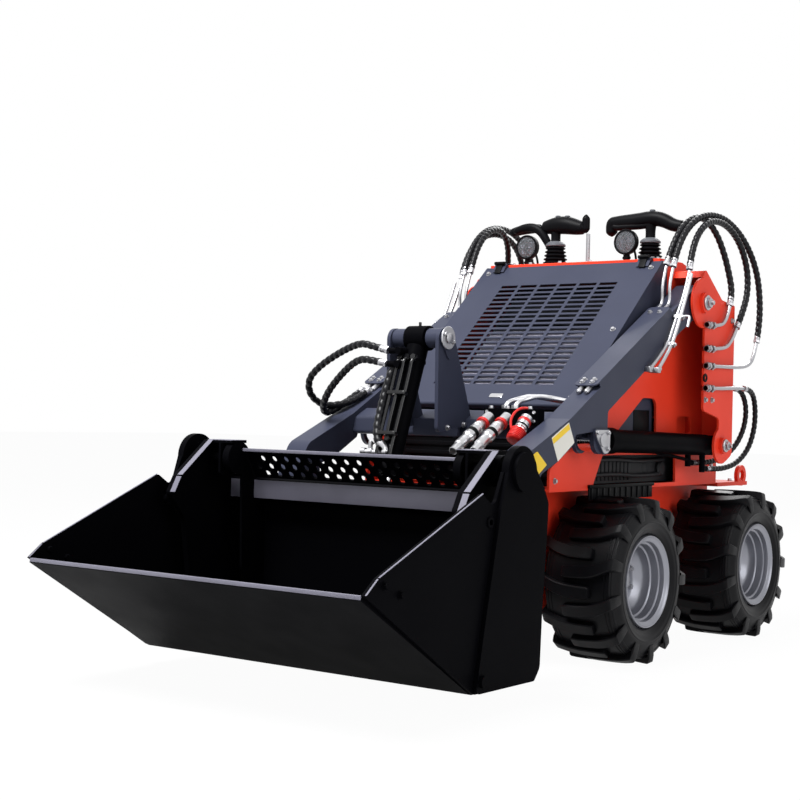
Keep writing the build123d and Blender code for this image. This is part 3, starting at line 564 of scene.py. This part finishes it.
tube_ends = Piece()
for side_name, side in SIDES:
    hoses, ends = Piece(), Piece()
    for route in LIFT_HOSES:
        line = smooth_route([(side * x, y, z) for x, y, z in route])
        hoses.sweep(line[6:-6], wrapped(8.3, 1.3, 19), 12)
        hose_end(tube_ends, line, False, 8.8, 30, 19, 9)
        hose_end(ends, line, True, 8.8, 30, 19, 9)
    guards = hoses.done(f"lift_hose_guards_{side_name}", "hose_rubber", blend=(
        "chassis", f"lift_barrel_{side_name}", in_frame(0, 900, 740), in_frame(0, 600, 600)))
    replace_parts(guards, "lift_hoses")
    ends.done(f"lift_hose_ends_{side_name}", "zinc", f"lift_barrel_{side_name}")
tube_ends.done("lift_tube_ends", "zinc")

tilt_hoses, tilt_ends = Piece(), Piece()
for route in TILT_HOSES:
    line = smooth_route(route)
    tilt_hoses.sweep(line[6:-6], wrapped(9.9, 1.6, 24), 14)
    for last in (False, True):
        hose_end(tilt_ends, line, last, 10.8, width=22)
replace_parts(tilt_hoses.done("tilt_hose_guards", "hose_rubber", "arms"), "tilt_hoses")
tilt_ends.done("tilt_hose_ends", "zinc", "arms")

# tubes from the cheeks' slots to the hoses, with nuts where they leave the slots
SERVICE_RUNS = [
    [(468, 1077), (555, 1077), (617, 1098), (640, 1151)],
    [(468, 998), (590, 1000), (660, 1026), (700, 1078)],
    [(468, 940), (690, 942), (800, 950), (850, 980), (872, 1036)],
    [(468, 865), (600, 867), (700, 872), (770, 872)],
]
tubes = Piece()
for run in SERVICE_RUNS:
    tubes.tube([(TUBE_X, *point) for point in run], 6.4)
    for y, width in ((462, 19), (474, 24), (503, 24)):
        tubes.hexagon((TUBE_X, y, run[0][1]), BACK, width, 12)
        tubes.disc([(0, 8), (1, 8.6), (24, 8.6), (25, 8)], (TUBE_X, y, run[0][1]), BACK, 20)
tubes.bar((430, 712, 872), (430, 777, 872), 6.4)
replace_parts(tubes.mirrored().done("service_pipes", "zinc"), "service_tubes")

arm_pipes = Piece()
for x, top in ((388, (316, 1262)), (414, (313, 1255))):
    arm_pipes.tube([(x, *top), (x, 288, 1200), (x, *arm_top(778, 17)),
                    (x, *arm_top(750, 6.5)), (x, *arm_top(150, 6.5))], 5.4)
    arm_pipes.disc([(0, 7), (2, 8), (30, 8), (32, 7)], (x, *arm_top(186, 6.5)),
                   (0, -math.cos(ARM_SLOPE), -math.sin(ARM_SLOPE)), 18)
for x, top, foot in ((453, (354, 1248), (86, 914)), (468, (338, 1236), (112, 912))):
    arm_pipes.tube([(x, *top), (x, top[0] - 26, 1178), (x, 250, 1064), (x, 196, 980), (x, *foot)], 5.9)
    arm_pipes.disc([(0, 8), (1, 9), (13, 9), (14, 8)], (x, *foot), (0, 60, 30), 18)
    # banjo block that carries the line into the arm's flank
    arm_pipes.block((439.5, x + 8), (foot[0] - 9, foot[0] + 9), (foot[1] - 9, foot[1] + 9), 2.5)
# clamps round the outer tubes, each with its bolt
for y, z in ((208, 992), (268, 1084)):
    arm_pipes.extruded(rectangle((-17, -9), (17, 9), 3), (459, y, z), LEFT, (0, 0.83, -0.55), 12, 1.0)
    arm_pipes.bolt((476, y, z + 6), LEFT, 10)
arm_pipes.tube([(476, 268, 1092), (494, 268, 1092), (500, 266, 1090),
                (500, 258, 1070), (500, 252, 1056)], 4.6, 12)
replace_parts(arm_pipes.mirrored().done("arm_pipes", "zinc", "arms"), "arm_tubes")

# ---- arms
ARM_NORMAL = (0, -math.sin(ARM_SLOPE), math.cos(ARM_SLOPE))
arm_bolts, pin_heads = Piece(), Piece()
for x in (384, 418):
    for distance in (196, 212, 690):
        arm_bolts.bolt((x, *arm_top(distance, 18)), ARM_NORMAL, 11)
# pin of the bucket head in each arm's foot, with its boss and keeper bolts
pin_heads.disc([(0, 30), (3, 32), (7, 32), (8, 30), (8, 17), (12, 16)], (ARM_FACE, *ATTACH_PIVOT), LEFT,
               40)
pin_heads.bolts([(ARM_FACE + 8, ATTACH_PIVOT[0] + y, ATTACH_PIVOT[1]) for y in (-20, 20)], LEFT, 9)
# blank keeper plate over the lift cylinder's rod pin
pin_heads.slab((ARM_FACE + 7.5, ARM_FACE + 10), [
    (-250, 721, 10), (-154, 721, 10), (-156, 653, 20), (-189, 649, 20), (-229, 691, 18)], 0.8)
pin_heads.disc([(0, 19), (3, 21), (6, 21), (7, 19)], (ARM_FACE + 8, *ARM_LUG), LEFT, 36)
pin_heads.bolts([(ARM_FACE + 10, y, z) for y, z in ((-236, 712), (-168, 712), (-170, 664))], LEFT, 10)
arm_bolts.mirrored().done("arm_cover_bolts", "zinc", "arms")
pin_heads.mirrored().done("arm_pin_plates", "zinc", "arms")

# blank stickers on the arm's flank: (material, outline) in side view
STICKERS = [
    ("sticker_white", [(-483, 697, 3), (-387, 742, 3), (-353, 683, 3), (-445, 629, 3)]),
    ("sticker_yellow", [(-480, 694, 2), (-388, 738, 2), (-380, 722, 2), (-472, 679, 2)]),
    ("sticker_yellow", [(-579, 651, 2), (-560, 658, 2), (-507, 620, 2), (-566, 585, 2),
                        (-581, 598, 2)]),
]
for number, (material, corners) in enumerate(STICKERS):
    sticker = Piece()
    depth = 0.5 + 0.35 * number
    sticker.slab((ARM_FACE - 0.5, ARM_FACE + depth), corners, 0.15, 1)
    sticker.mirrored().done(f"blank_sticker_{number}", material, "arms")

# ---- tower and tilt cylinder
tower = Piece()
tower.disc([(0, 33), (1.5, 35), (4, 35), (5, 33.5)], (72, *TOWER_PIN), LEFT, 44)
tower.disc([(0, 14), (2, 16), (5, 16), (6, 14)], (77, *TOWER_PIN), LEFT, 36)
tower.bolts([(77, -505, 996), (77, -461, 974)], LEFT, 10)
tower.bolts([(66, -466, 716), (66, -380, 726)], LEFT, 12)
tower.done("tower_pin_plate", "zinc", "arms")

TILT_WAY = Vector((0, TILT_PIN[0] - TOWER_PIN[0], TILT_PIN[1] - TOWER_PIN[1])).normalized()


def tilt_point(x, distance):
    """Point beside the tilt cylinder's axis, at a distance from the tower pin."""
    return Vector((x, *TOWER_PIN)) + distance * TILT_WAY


tilt_trim = Piece()
tilt_trim.turned([(-34, 33.4), (-34, 36.5), (-31, 37.5), (3, 37.5), (5, 36), (5, 19), (8, 18.2),
                  (8, 17.4), (-20, 17.4), (-20, 33.4)], tilt_point(TILT_X, 436), TILT_WAY, 48)
tilt_trim.turned([(0, 33.3), (0, 35), (2, 35.6), (5, 35.6), (7, 35), (7, 33.3)],
                 tilt_point(TILT_X, 70), TILT_WAY, 48)
tilt_trim.done("tilt_gland", "black_steel", "tilt_barrel")

# steel pipes along the barrel, with their elbows and ties
tilt_pipes = Piece()
side_step = Vector((0, TILT_WAY.z, -TILT_WAY.y))
for x, out, far in ((-6, 40, 400), (-30, 47, 330), (-54, 44, 400)):
    near, tip = tilt_point(x, 78), tilt_point(x, far)
    route = [near + side_step * 34, near + side_step * (out + 6) + TILT_WAY * 10,
             near + side_step * out + TILT_WAY * 40, tip + side_step * out - TILT_WAY * 30,
             tip + side_step * (out - 4), tip + side_step * 30 + TILT_WAY * 6]
    tilt_pipes.tube(route, 5.2)
    tilt_pipes.hexagon(near + side_step * 33, side_step, 19, 12)
    tilt_pipes.hexagon(tip + side_step * 31 + TILT_WAY * 6, side_step, 19, 12)
for distance in (192, 320):
    tilt_pipes.extruded([(-32, 31, 3), (32, 31, 3), (32, 55, 5), (-32, 55, 5)],
                        tilt_point(TILT_X, distance), LEFT, side_step, 10, 1.0)
tilt_pipes.bar((-30, -483, 1023), (-30, -483, 1034), 4.5)
tilt_pipes.done("tilt_pipes", "gloss_black", "tilt_barrel")
tilt_side_hose, tilt_side_ends = Piece(), Piece()
line = smooth_route([(-48, -530, 920), (-74, -552, 900), (-80, -572, 846), (-80, -602, 770),
                     (-72, -634, 700), (-48, -648, 660), (-30, -632, 636)])
tilt_side_hose.sweep(line[4:-10], wrapped(12.4, 1.8, 24), 16)
ferrule(tilt_side_ends, line[-1], line[-15], 14.6, 46)
ferrule(tilt_side_ends, line[2], line[12], 14, 26)
tilt_side_ends.hexagon(line[-1], line[-6] - line[-1], 25, 10)
tilt_side_ends.bar((-124, -640, 640), (-34, -634, 638), 8)
for x, radius in ((-122, 12), (-96, 10.5), (-66, 12), (-40, 13)):
    tilt_side_ends.disc([(0, radius - 1), (1, radius), (13, radius), (14, radius - 1)],
                        (x, -639, 640), (1, 0.05, 0), 20)
tilt_side_ends.bar((-92, -638, 640), (-90, -636, 672), 7)
tilt_side_hose.done("tilt_side_hose", "hose_rubber", "tilt_barrel")
tilt_side_ends.done("tilt_side_ends", "nickel", "tilt_barrel")

# ---- couplers
# (share of a coupler's length, radius) from its cap to its end
COUPLER_RINGS = [(0.26, 14), (0.28, 17), (0.3, 19), (0.36, 19), (0.37, 17.6), (0.4, 17.6), (0.41, 19),
                 (0.6, 19), (0.62, 16), (0.68, 15), (0.7, 16.4), (0.84, 16.4), (0.86, 13), (1, 12.4)]
coupler_trim, coupler_red, coupler_dark = Piece(), Piece(), Piece()
for x, length, drop in ((200, 190, 0.53), (262, 176, 0.56), (330, 62, 0.9)):
    start, way = Vector((x, -438, 753)), Vector((0, -length, -drop * length))
    total = way.length
    cap = 0.16 * total
    rings = [(share * total, radius) for share, radius in COUPLER_RINGS]
    coupler_trim.disc([(0, 15), (2, 17.5), (cap, 17.5), (cap + 2, 14), *rings, (total + 1, 11)],
                      start, way, 36)
    coupler_red.turned([(cap + 3, 13.8), (cap + 3, 19.5), (cap + 5, 20.2), (cap + 11, 20.2),
                        (cap + 13, 19.5), (cap + 13, 13.8)], start, way, 36)
    coupler_dark.turned([(0.46 * total, 18.9), (0.46 * total, 19.6), (0.53 * total, 19.6),
                         (0.53 * total, 18.9)], start, way, 36)
# ribbed cap with its strap on the short coupler
way = Vector((0, -1, -0.9)).normalized()
tip = Vector((330, -438, 753)) + way * 60
ribs = [(0, 21), (1, 23)]
for k in range(6):
    ribs += [(2 + 6 * k, 24.5), (5.4 + 6 * k, 24.5), (6 + 6 * k, 22.4), (7.4 + 6 * k, 22.4)]
coupler_red.disc([*ribs, (40, 20), (42, 16)], tip, way, 36)
coupler_red.tube([(312, -490, 712), (299, -486, 738), (300, -462, 768),
                  (312, -440, 782), (322, -424, 780)], 3.8, 10)
coupler_red.done("coupler_caps", "cap_red", "arms")
coupler_dark.done("coupler_bands", "black_plastic", "arms")
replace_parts(coupler_trim.done("coupler_bodies", "nickel", "arms"), "quick_couplers")

block_trim = Piece()
block_trim.bolts([(x, -404, 778) for x in (182, 240, 318)], UP, 12)
for x, z in ((182, 742), (346, 742), (346, 768), (182, 768)):
    block_trim.hexagon((x, -426, z), (0, -1, 0), 9, 4.95)
# bent pipes from the arm over to the block's top
for shift in (0, 1):
    route = [(400 - 26 * shift, -214 - 14 * shift, 816 - 8 * shift), (372 - 20 * shift, -242, 800),
             (334 - 26 * shift, -296, 812), (292 - 26 * shift, -322, 818), (268 - 30 * shift, -350, 806),
             (262 - 34 * shift, -392, 796), (262 - 34 * shift, -398, 778)]
    block_trim.tube(route, 7.4)
    block_trim.hexagon(route[-1], UP, 20, 11)
    block_trim.hexagon(route[0], (-0.6, -0.5, -0.3), 20, 11)
block_trim.done("coupler_pipes", "nickel", "arms")

# ---- hood
HOOD_FOOT, HOOD_TOP = (-200.0, 793.0), (367.0, 1287.0)
HOOD_LENGTH = math.dist(HOOD_FOOT, HOOD_TOP)
HOOD_UP = Vector((0, HOOD_TOP[0] - HOOD_FOOT[0], HOOD_TOP[1] - HOOD_FOOT[1])).normalized()
HOOD_NORMAL = Vector(LEFT).cross(HOOD_UP)


def hood_point(x, distance, lift=0.0):
    """Point on the hood's slope, at a distance up from its foot and above its face."""
    return Vector((x, *HOOD_FOOT)) + distance * HOOD_UP + lift * HOOD_NORMAL


def hood_plate(piece, low, high, radius, lift, thickness, bevel=0.0):
    """Plate parallel to the hood, between two (x, distance) corners."""
    piece.extruded(rectangle(low, high, radius), hood_point(0, 0, lift), LEFT, HOOD_UP, thickness, bevel)


hood_trim, badge = Piece(), Piece()
hood_trim.bolts([hood_point(x, distance) for x in (-322, 322)
                 for distance in (32, 0.5 * HOOD_LENGTH, HOOD_LENGTH - 40)], HOOD_NORMAL, 12)
hood_trim.done("hood_bolts", "zinc")
badge.extruded(rectangle((-24, -9), (24, 9), 4), hood_point(48, 40), LEFT, HOOD_UP, 2, 0.8)
badge.done("blank_badge", "chrome")

# radiator core and its frame behind the slots
core = Piece()
hood_plate(core, (-170, 60), (296, 690), 8, -46, 14, 2.0)
for row in range(20):
    hood_plate(core, (-160, 84 + 30 * row), (286, 90 + 30 * row), 1, -32.5, 4)
core.done("radiator_core", "black_plastic")
# lower half: finned face of the oil cooler, close behind the slots; its light grey is partly the cooler's own and
# partly painted light for the light falling in through the slots
fins = Piece()
hood_plate(fins, (-150, 36), (296, 392), 8, -30, 18.5, 2.0)
for row in range(34):
    hood_plate(fins, (-144, 42 + 10 * row), (290, 46 + 10 * row), 0.8, -12, 2.5)
fins.done("cooler_fins", "core_grey")

# latches: rubber strap over a hooked plate
latches, latch_metal = Piece(), Piece()
for x in (-286, 286):
    latches.slab((x - 12, x + 12), [(330, 1262, 3), (356, 1302, 5), (420, 1304, 5), (420, 1299, 2),
                                    (372, 1299, 3), (346, 1266, 3)], 1.5)
    latches.disc([(-20, 6), (20, 6)], (x, 352, DECK_TOP + 5), LEFT, 20)
    latch_metal.block((x - 22, x + 22), (392, 436), (DECK_TOP, DECK_TOP + 5), 1.0)
    for dx in (-14, 14):
        latch_metal.bolt((x + dx, 428, DECK_TOP + 5), UP, 9)
latches.done("hood_latches", "black_plastic")
latch_metal.done("latch_plates", "zinc")

# ---- headlamps
SCREW_REACH = 40 * math.cos(math.pi / 4)
lamps, reflectors, lenses = Piece(), Piece(), Piece()
for x, y in ((175, 426), (-226, 432)):
    centre = (x, y, LAMP_HEIGHT)
    lamps.turned([(0, 44), (-2, 42.5), (-2, 37.5), (2, 36), (6, 36), (6, 43), (18, 43), (24, 38),
                  (32, 28), (38, 20), (38, 0), (37, 0), (36, 18), (22, 36), (16, 41), (8, 44)],
                 centre, BACK, 56)
    # four screws in the lamp's rim
    for dx in (-SCREW_REACH, SCREW_REACH):
        for dz in (-SCREW_REACH, SCREW_REACH):
            lamps.disc([(-3, 2.6), (0, 3)], (x + dx, y, LAMP_HEIGHT + dz), BACK, 12)
    lamps.turned([(6, 36), (12, 31), (14, 20), (14, 0), (18, 0), (18, 36)], centre, BACK, 56)
    for dx, dz in ((-15, 7), (15, 7), (-15, -13), (15, -13)):
        reflectors.turned([(14, 0), (9, 3.5), (6, 10.5), (5.2, 11.5), (5.2, 12.6), (14, 12.6), (14, 11)],
                          (x + dx, y, LAMP_HEIGHT + dz), BACK, 28)
    lenses.turned([(-4, 0), (-3.6, 14), (-2.2, 28), (0, 37), (1.5, 37), (-0.4, 28), (-1.8, 14),
                   (-2.2, 0)], centre, BACK, 48)
    lamps.block((x - 9, x + 9), (y + 4, y + 22), (1300, 1326), 2)
    lamps.block((x - 24, x + 24), (y - 4, y + 34), (DECK_TOP, DECK_TOP + 5), 1)
    lamps.bar((x - 14, y + 13, 1310), (x + 14, y + 13, 1310), 5)
    lamps.tube([(x, y + 36, 1356), (x, y + 62, 1350), (x + 4, y + 74, 1322), (x + 4, y + 76, 1298)], 4,
               10)
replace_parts(lamps.done("lamp_housings", "black_plastic"), "headlamps")
reflectors.done("lamp_reflectors", "dark_chrome")
lenses.done("lamp_lenses", "lens")

# ---- control levers
def swelling(thin, thick, length):
    """Radius of a hand grip that swells in the middle and closes round at its ends."""
    def size(distance, turn):
        share = min(max(distance / length, 0.0), 1.0)
        end = min(1.0, distance / 14, (length - distance) / 14 + 0.02)
        return (thin + (thick - thin) * math.sin(math.pi * share)) * math.sqrt(max(end, 0.02))
    return size


# (route, end radius, middle radius) of each bar of the two hand grips
GRIP_BARS = [
    ([(84, 498, 1394), (80, 498, 1440), (104, 498, 1442), (189, 498, 1444), (237, 498, 1450),
      (280, 498, 1444), (330, 498, 1416), (368, 498, 1416)], 19, 27),
    ([(88, 486, 1436), (96, 486, 1422), (150, 486, 1424), (214, 490, 1424), (250, 492, 1430)],
     11, 12),
    ([(-314, 458, 1420), (-270, 458, 1430), (-222, 458, 1434), (-172, 458, 1432)], 14, 18),
    ([(-178, 458, 1432), (-145, 458, 1436), (-110, 458, 1440), (-70, 458, 1438), (-16, 458, 1424),
      (4, 458, 1424)], 20, 32),
    ([(2, 458, 1406), (2, 458, 1430), (2, 458, 1472)], 13, 14),
    ([(-290, 446, 1420), (-262, 446, 1434), (-204, 446, 1438), (-162, 446, 1410),
      (-134, 450, 1352)], 12, 16),
]
grips, bellows, boot_caps, knobs = Piece(), Piece(), Piece(), Piece()
for route, thin, thick in GRIP_BARS:
    line = smooth_route(route)
    length = sum((b - a).length for a, b in zip(line, line[1:]))
    grips.sweep(line, swelling(thin, thick, length), 24)
for x, y in ((234, 498), (-120, 458)):
    grips.disc([(0, 19), (14, 17), (30, 17), (56, 20)], (x, y, 1374), UP, 28)
    folds = [(0, 46), (3, 46)]
    for level in range(5):
        outer, rise = 44 - 2.2 * level, 4 + 13 * level
        folds += [(rise, outer - 7), (rise + 3.5, outer), (rise + 6.5, outer), (rise + 10, outer - 7)]
    bellows.disc([*folds, (72, 30), (74, 24), (84, 20)], (x, y, DECK_TOP), UP, 40)
    boot_caps.disc([(68, 35), (70, 36), (75, 35), (82, 28), (86, 21)], (x, y, DECK_TOP), UP, 40)
    boot_caps.disc([(0, 50), (2, 51), (4, 50)], (x, y, 1295), UP, 40)
for x, y, z in ((240, 498, 1474), (-112, 458, 1468), (-74, 458, 1466)):
    knobs.disc([(-14, 8), (-4, 9), (0, 10), (4, 10), (6, 8)], (x, y, z), UP, 28)
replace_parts(grips.done("hand_grips", "black_plastic"), "control_levers")
bellows.done("lever_bellows", "black_plastic")
boot_caps.done("bellows_caps", "grey_plastic")
knobs.done("grip_knobs", "grey_plastic")
post = Piece()
post.bar((12, 458, DECK_TOP), (12, 458, 1404), 7)
post.disc([(0, 16), (3, 16), (5, 11), (9, 10)], (12, 458, DECK_TOP), UP, 24)
post.done("guard_post", "zinc")

# ---- side panels and cheeks
cheek_pins, cheek_bolts = Piece(), Piece()
for (y, z), radius in ((ARM_PIVOT, 25), (LIFT_BASE, 22)):
    cheek_pins.disc([(11.5, radius - 2), (13, radius), (17, radius), (19, radius - 2)],
                    (CHEEK_FACE, y, z), LEFT, 40)
    cheek_pins.hexagon((CHEEK_FACE + 19, y, z), LEFT, 1.2 * radius, 10)
    cheek_pins.bar((CHEEK_FACE + 28, y, z), (CHEEK_FACE + 38, y, z), 0.3 * radius, 16)
cheek_bolts.bolts([(CHEEK_FACE, y, z) for y, z in ((690, 1104), (690, 670), (488, 826), (540, 826))],
                  LEFT)
cheek_bolts.bolts([(PANEL_FACE, y, z) for y, z in ((-300, 565), (780, 600), (780, 1120), (660, 1180))],
                  LEFT, 12)
cheek_pins.mirrored().done("cheek_pin_heads", "zinc")
cheek_bolts.mirrored().done("cheek_bolts", "zinc")

# lock in the cheek: dark round boss with a sunk middle
locks = Piece()
locks.disc([(-2, 15), (1, 15), (3, 13), (3, 7), (-1, 6)], (CHEEK_FACE, 486, 900), LEFT, 28)
locks.mirrored().done("cheek_locks", "black_plastic")

# dark bay behind the arched window, and what shows in the gap over the wheels
bay, holes, engine_parts, tray, ledge = Piece(), Piece(), Piece(), Piece(), Piece()
bay.slab((323, 326), [(40, 690, 6), (245, 836, 40), (362, 836, 30), (366, 690, 6)])
holes.block((326, 327.5), (226, 338), (706, 786), 2)
tray.slab((300, 303), [(-60, 548, 4), (-10, 668, 4), (640, 668, 4), (640, 548, 4)])
for k in range(9):
    engine_parts.block((292, 306), (30 + 26 * k, 46 + 26 * k), (556, 628), 2)
engine_parts.disc([(0, 36), (6, 40), (30, 40), (36, 34), (44, 16)], (262, 360, 596), LEFT, 36)
engine_parts.disc([(0, 26), (50, 26), (56, 20)], (262, 460, 592), LEFT, 28)
for z in (574, 622):
    engine_parts.tube([(308, -40, z), (316, 120, z + 6), (316, 300, z - 8), (308, 480, z)], 7, 12)
# dark ledge and splash panel over the front wheel
ledge.block((PANEL_FACE - 0.5, PANEL_FACE + 3), (-96, 330), (500, 544), 1)
ledge.block((PANEL_FACE - 0.5, PANEL_FACE + 9), (-100, 334), (538, 549), 2)
for k in range(11):
    ledge.block((PANEL_FACE + 2, PANEL_FACE + 6), (-84 + 38 * k, -74 + 38 * k), (502, 540), 1)
ledge.mirrored().done("wheel_ledges", "black_plastic")
bay.mirrored().done("window_bay", "slate_paint")
holes.mirrored().done("window_hole", "black_plastic")
engine_parts.mirrored().done("engine_fittings", "dark_iron")
tray.mirrored().done("engine_tray", "dark_iron")

# black plate over the front of the lower frame: painted shade for that front, which lies in deep shadow
front_shade_plate = Piece()
front_shade_plate.block((-232, 232), (-336, -330.5), (262, 538), 2)
for k in range(9):
    front_shade_plate.block((-210, 210), (-340, -335), (290 + 26 * k, 302 + 26 * k), 2)
# black sheet that closes the bay over it, behind the arms' cross tube: painted shade where that bay lies in shadow
front_shade_plate.block((-337, 337), (-172, -166), (541, 782), 2)
for k in range(7):
    front_shade_plate.block((-300, 300), (-177, -171), (566 + 30 * k, 580 + 30 * k), 2)
front_shade_plate.done("front_shade_plate", "black_plastic")

# red pocket behind each valve hole
pockets = Piece()
pockets.slab((318, 321), rectangle((490, 698), (632, 784), 6))
for y in (498, 622):
    pockets.block((318, 338), (y, y + 4), (704, 776), 0.5)
pockets.mirrored().done("valve_pockets", "red_paint")

# ---- deck and rear
deck_bolts, rear_trim, vents = Piece(), Piece(), Piece()
deck_bolts.bolts([(x, 388, DECK_TOP) for x in (-300, -180, -60, 60, 300)], UP, 11)
for x in (-310, -105, 105, 310):
    rear_trim.bolts([(x, 830, z) for z in ((580, 850, 1120) if abs(x) > 200 else (580, 1120))], BACK)
rear_trim.bolts([(x, y, 536) for x in (-300, 300) for y in (870, 1050)], UP)
for k in range(12):
    vents.block((-190, 190), (829, 834), (700 + 26 * k, 712 + 26 * k), 2)
deck_bolts.done("deck_bolts", "zinc")
rear_trim.done("rear_bolts", "zinc")
vents.done("rear_vents", "black_plastic")

# treads of the folding platform
treads = Piece()
for row in range(5):
    for column in range(7):
        y0, z0 = 1019 + 4.4 * row, 455 - 42 * row
        treads.block((-171 + 52 * column, -141 + 52 * column), (y0 + 1, y0 + 5), (z0 - 4, z0 + 4), 1.5)
treads.done("platform_treads", "dark_iron", "platform")

# ---- bucket
jaw_trim = Piece()
jaw_trim.bolts([(575, -1440, 360), (575, -1378, 334)], LEFT, 15)
for y, z in ((-1446, 362), (-1384, 336)):
    jaw_trim.disc([(0, 9), (4, 9), (6, 7)], (565, y, z), (-1, 0, 0), 20)
jaw_trim.disc([(0, 15), (6, 15), (9, 11)], (565, -1003, 487), (-1, 0, 0), 28)
jaw_trim.turned([(0, 8), (0, 15), (2.5, 15), (4, 13), (4, 8), (0, 8)], (575, -1003, 487), LEFT, 28)
jaw_trim.mirrored().done("jaw_pins", "black_steel", "jaw")

# weld beads along each wall's foot and its slanted lower edge
welds = Piece()
for side in (1, -1):
    for foot, tip in (((-1061, 71), (-770, 71)), ((-1061, 72), (-1500, 336))):
        start, end = Vector((side * 563, *foot)), Vector((side * 563, *tip))
        count = int((end - start).length / 4)
        route = [start + (end - start) * k / count for k in range(count + 1)]
        welds.sweep(route, lambda distance, turn: 4 + 0.8 * math.cos(distance * 0.9), 8)
welds.done("jaw_welds", "black_steel", "jaw")


def highlight_strip(piece, x_span, start, end):
    """Strip of painted highlight from one value of x to another, along a line in side view."""
    way = Vector((0, end[0] - start[0], end[1] - start[1]))
    piece.extruded(rectangle((0, 0), (way.length, 1.2)), (x_span[0], *start), way,
                   Vector(LEFT).cross(way), x_span[1] - x_span[0])


# Strips of painted highlight along the lip and the top edges, and beside the jaw's and the head's
# side plates: the jaw's left ones and all of the head's stand out sideways from their plates.
jaw_edge_highlights, head_edge_highlights = Piece(), Piece()
for span in ((575.6, 580.2), (-571, -566.4)):
    highlight_strip(jaw_edge_highlights, span, (-1466, 380.5), (-1043, 560))
    highlight_strip(jaw_edge_highlights, span, (-1513, 344), (-1470, 378))
for span in ((513.6, 532.8), (-494.4, -475.2)):
    highlight_strip(head_edge_highlights, span, (-1033, 561), (-905, 664))
    highlight_strip(head_edge_highlights, span, (-1061, 512), (-1036, 557))
jaw_edge_highlights.block((-564, 564), (-1514.9, -1505), (333, 342.6), 0.4)
head_edge_highlights.block((-494, 494), (-803.4, -801), (492, 546), 0.6)
head_edge_highlights.block((-392, 392), (-867.6, -846), (632, 641.2), 0.8)
for x in (-494, 400):
    head_edge_highlights.block((x, x + 94), (-906, -842), (663, 665.4), 0.6)
jaw_edge_highlights.done("jaw_edge_highlights", "edge_highlight_paint", "jaw")
head_edge_highlights.done("head_edge_highlights", "edge_highlight_paint", "bucket_head")

head_trim = Piece()
for x, way in ((348, -1), (456, 1)):
    head_trim.disc([(0, 27), (4, 27), (6, 25)], (x, *ATTACH_PIVOT), (way, 0, 0), 32)
head_trim.mirrored().done("head_pins", "black_steel", "bucket_head")


# ---- stage
def calculated(nodes, links, operation, first, second):
    """Result of a math node on a socket and another socket or number."""
    node = nodes.new("ShaderNodeMath")
    node.operation = operation
    links.new(first, node.inputs[0])
    if isinstance(second, float):
        node.inputs[1].default_value = second
    else:
        links.new(second, node.inputs[1])
    return node.outputs["Value"]


def is_seen(nodes, links, in_metal):
    """1 for rays from the camera or through glass, and its share for what metal shows."""
    rays = nodes.new("ShaderNodeLightPath")
    mirrored = calculated(nodes, links, "MULTIPLY", rays.outputs["Is Glossy Ray"], in_metal)
    glossy = calculated(nodes, links, "MAXIMUM", rays.outputs["Is Camera Ray"], mirrored)
    return calculated(nodes, links, "MAXIMUM", glossy, rays.outputs["Is Transmission Ray"])


def mixed(nodes, links, share, lit, shown, output):
    """Sends the lit shader and, where it is seen, the shown one to the output's surface."""
    mix = nodes.new("ShaderNodeMixShader")
    for socket, source in zip(mix.inputs, (share, lit, shown)):
        links.new(source, socket)
    links.new(mix.outputs["Shader"], nodes[output].inputs["Surface"])


FLOOR_GLOW = 0.965         # share of the seen floor that is plain white
FLOOR_IN_METAL = 0.45      # how much of that white metal shows


def make_floor():
    bpy.ops.mesh.primitive_plane_add(size=60)
    floor = bpy.context.object
    floor.name = "floor"
    material, nodes, links = new_material("floor")
    shader, glow = nodes["Principled BSDF"], nodes.new("ShaderNodeEmission")
    give(shader, Base_Color=(0.65, 0.65, 0.65, 1), Roughness=0.9)
    give(glow, Color=(1, 1, 1, 1), Strength=1.0)
    # the rest of the floor is lit by the lamps, and so keeps the machine's shadow
    share = calculated(nodes, links, "MULTIPLY", is_seen(nodes, links, FLOOR_IN_METAL), FLOOR_GLOW)
    mixed(nodes, links, share, shader.outputs["BSDF"], glow.outputs["Emission"], "Material Output")
    floor.data.materials.append(material)


def make_world():
    world = bpy.data.worlds.new("studio")
    world.use_nodes = True
    nodes, links = world.node_tree.nodes, world.node_tree.links
    light, shown = nodes["Background"], nodes.new("ShaderNodeBackground")
    give(light, Color=(0.9, 0.94, 1.0, 1), Strength=0.3)
    give(shown, Color=(1, 1, 1, 1), Strength=1.0)
    mixed(nodes, links, is_seen(nodes, links, 1.0), light.outputs["Background"],
          shown.outputs["Background"], "World Output")
    bpy.context.scene.world = world


# (name, place, size, power) of each soft box
SOFT_BOXES = [("key", (-0.8, -3.2, 6.4), 3.2, 1040), ("side", (6.0, -0.6, 3.0), 4.0, 130),
              ("back", (-1.5, 5.5, 4.5), 4.0, 240)]


def make_lamps():
    for name, place, size, power in SOFT_BOXES:
        lamp = new_object(name, bpy.data.lights.new(name, "AREA"))
        lamp.data.size, lamp.data.energy, lamp.location = size, power, place
        aim = Vector((0, 0, 0.6)) - Vector(place)
        lamp.rotation_euler = aim.to_track_quat("-Z", "Y").to_euler()


make_camera()
dress_nodes()
make_floor()
make_world()
make_lamps()
bpy.context.scene.view_settings.view_transform = "Standard"
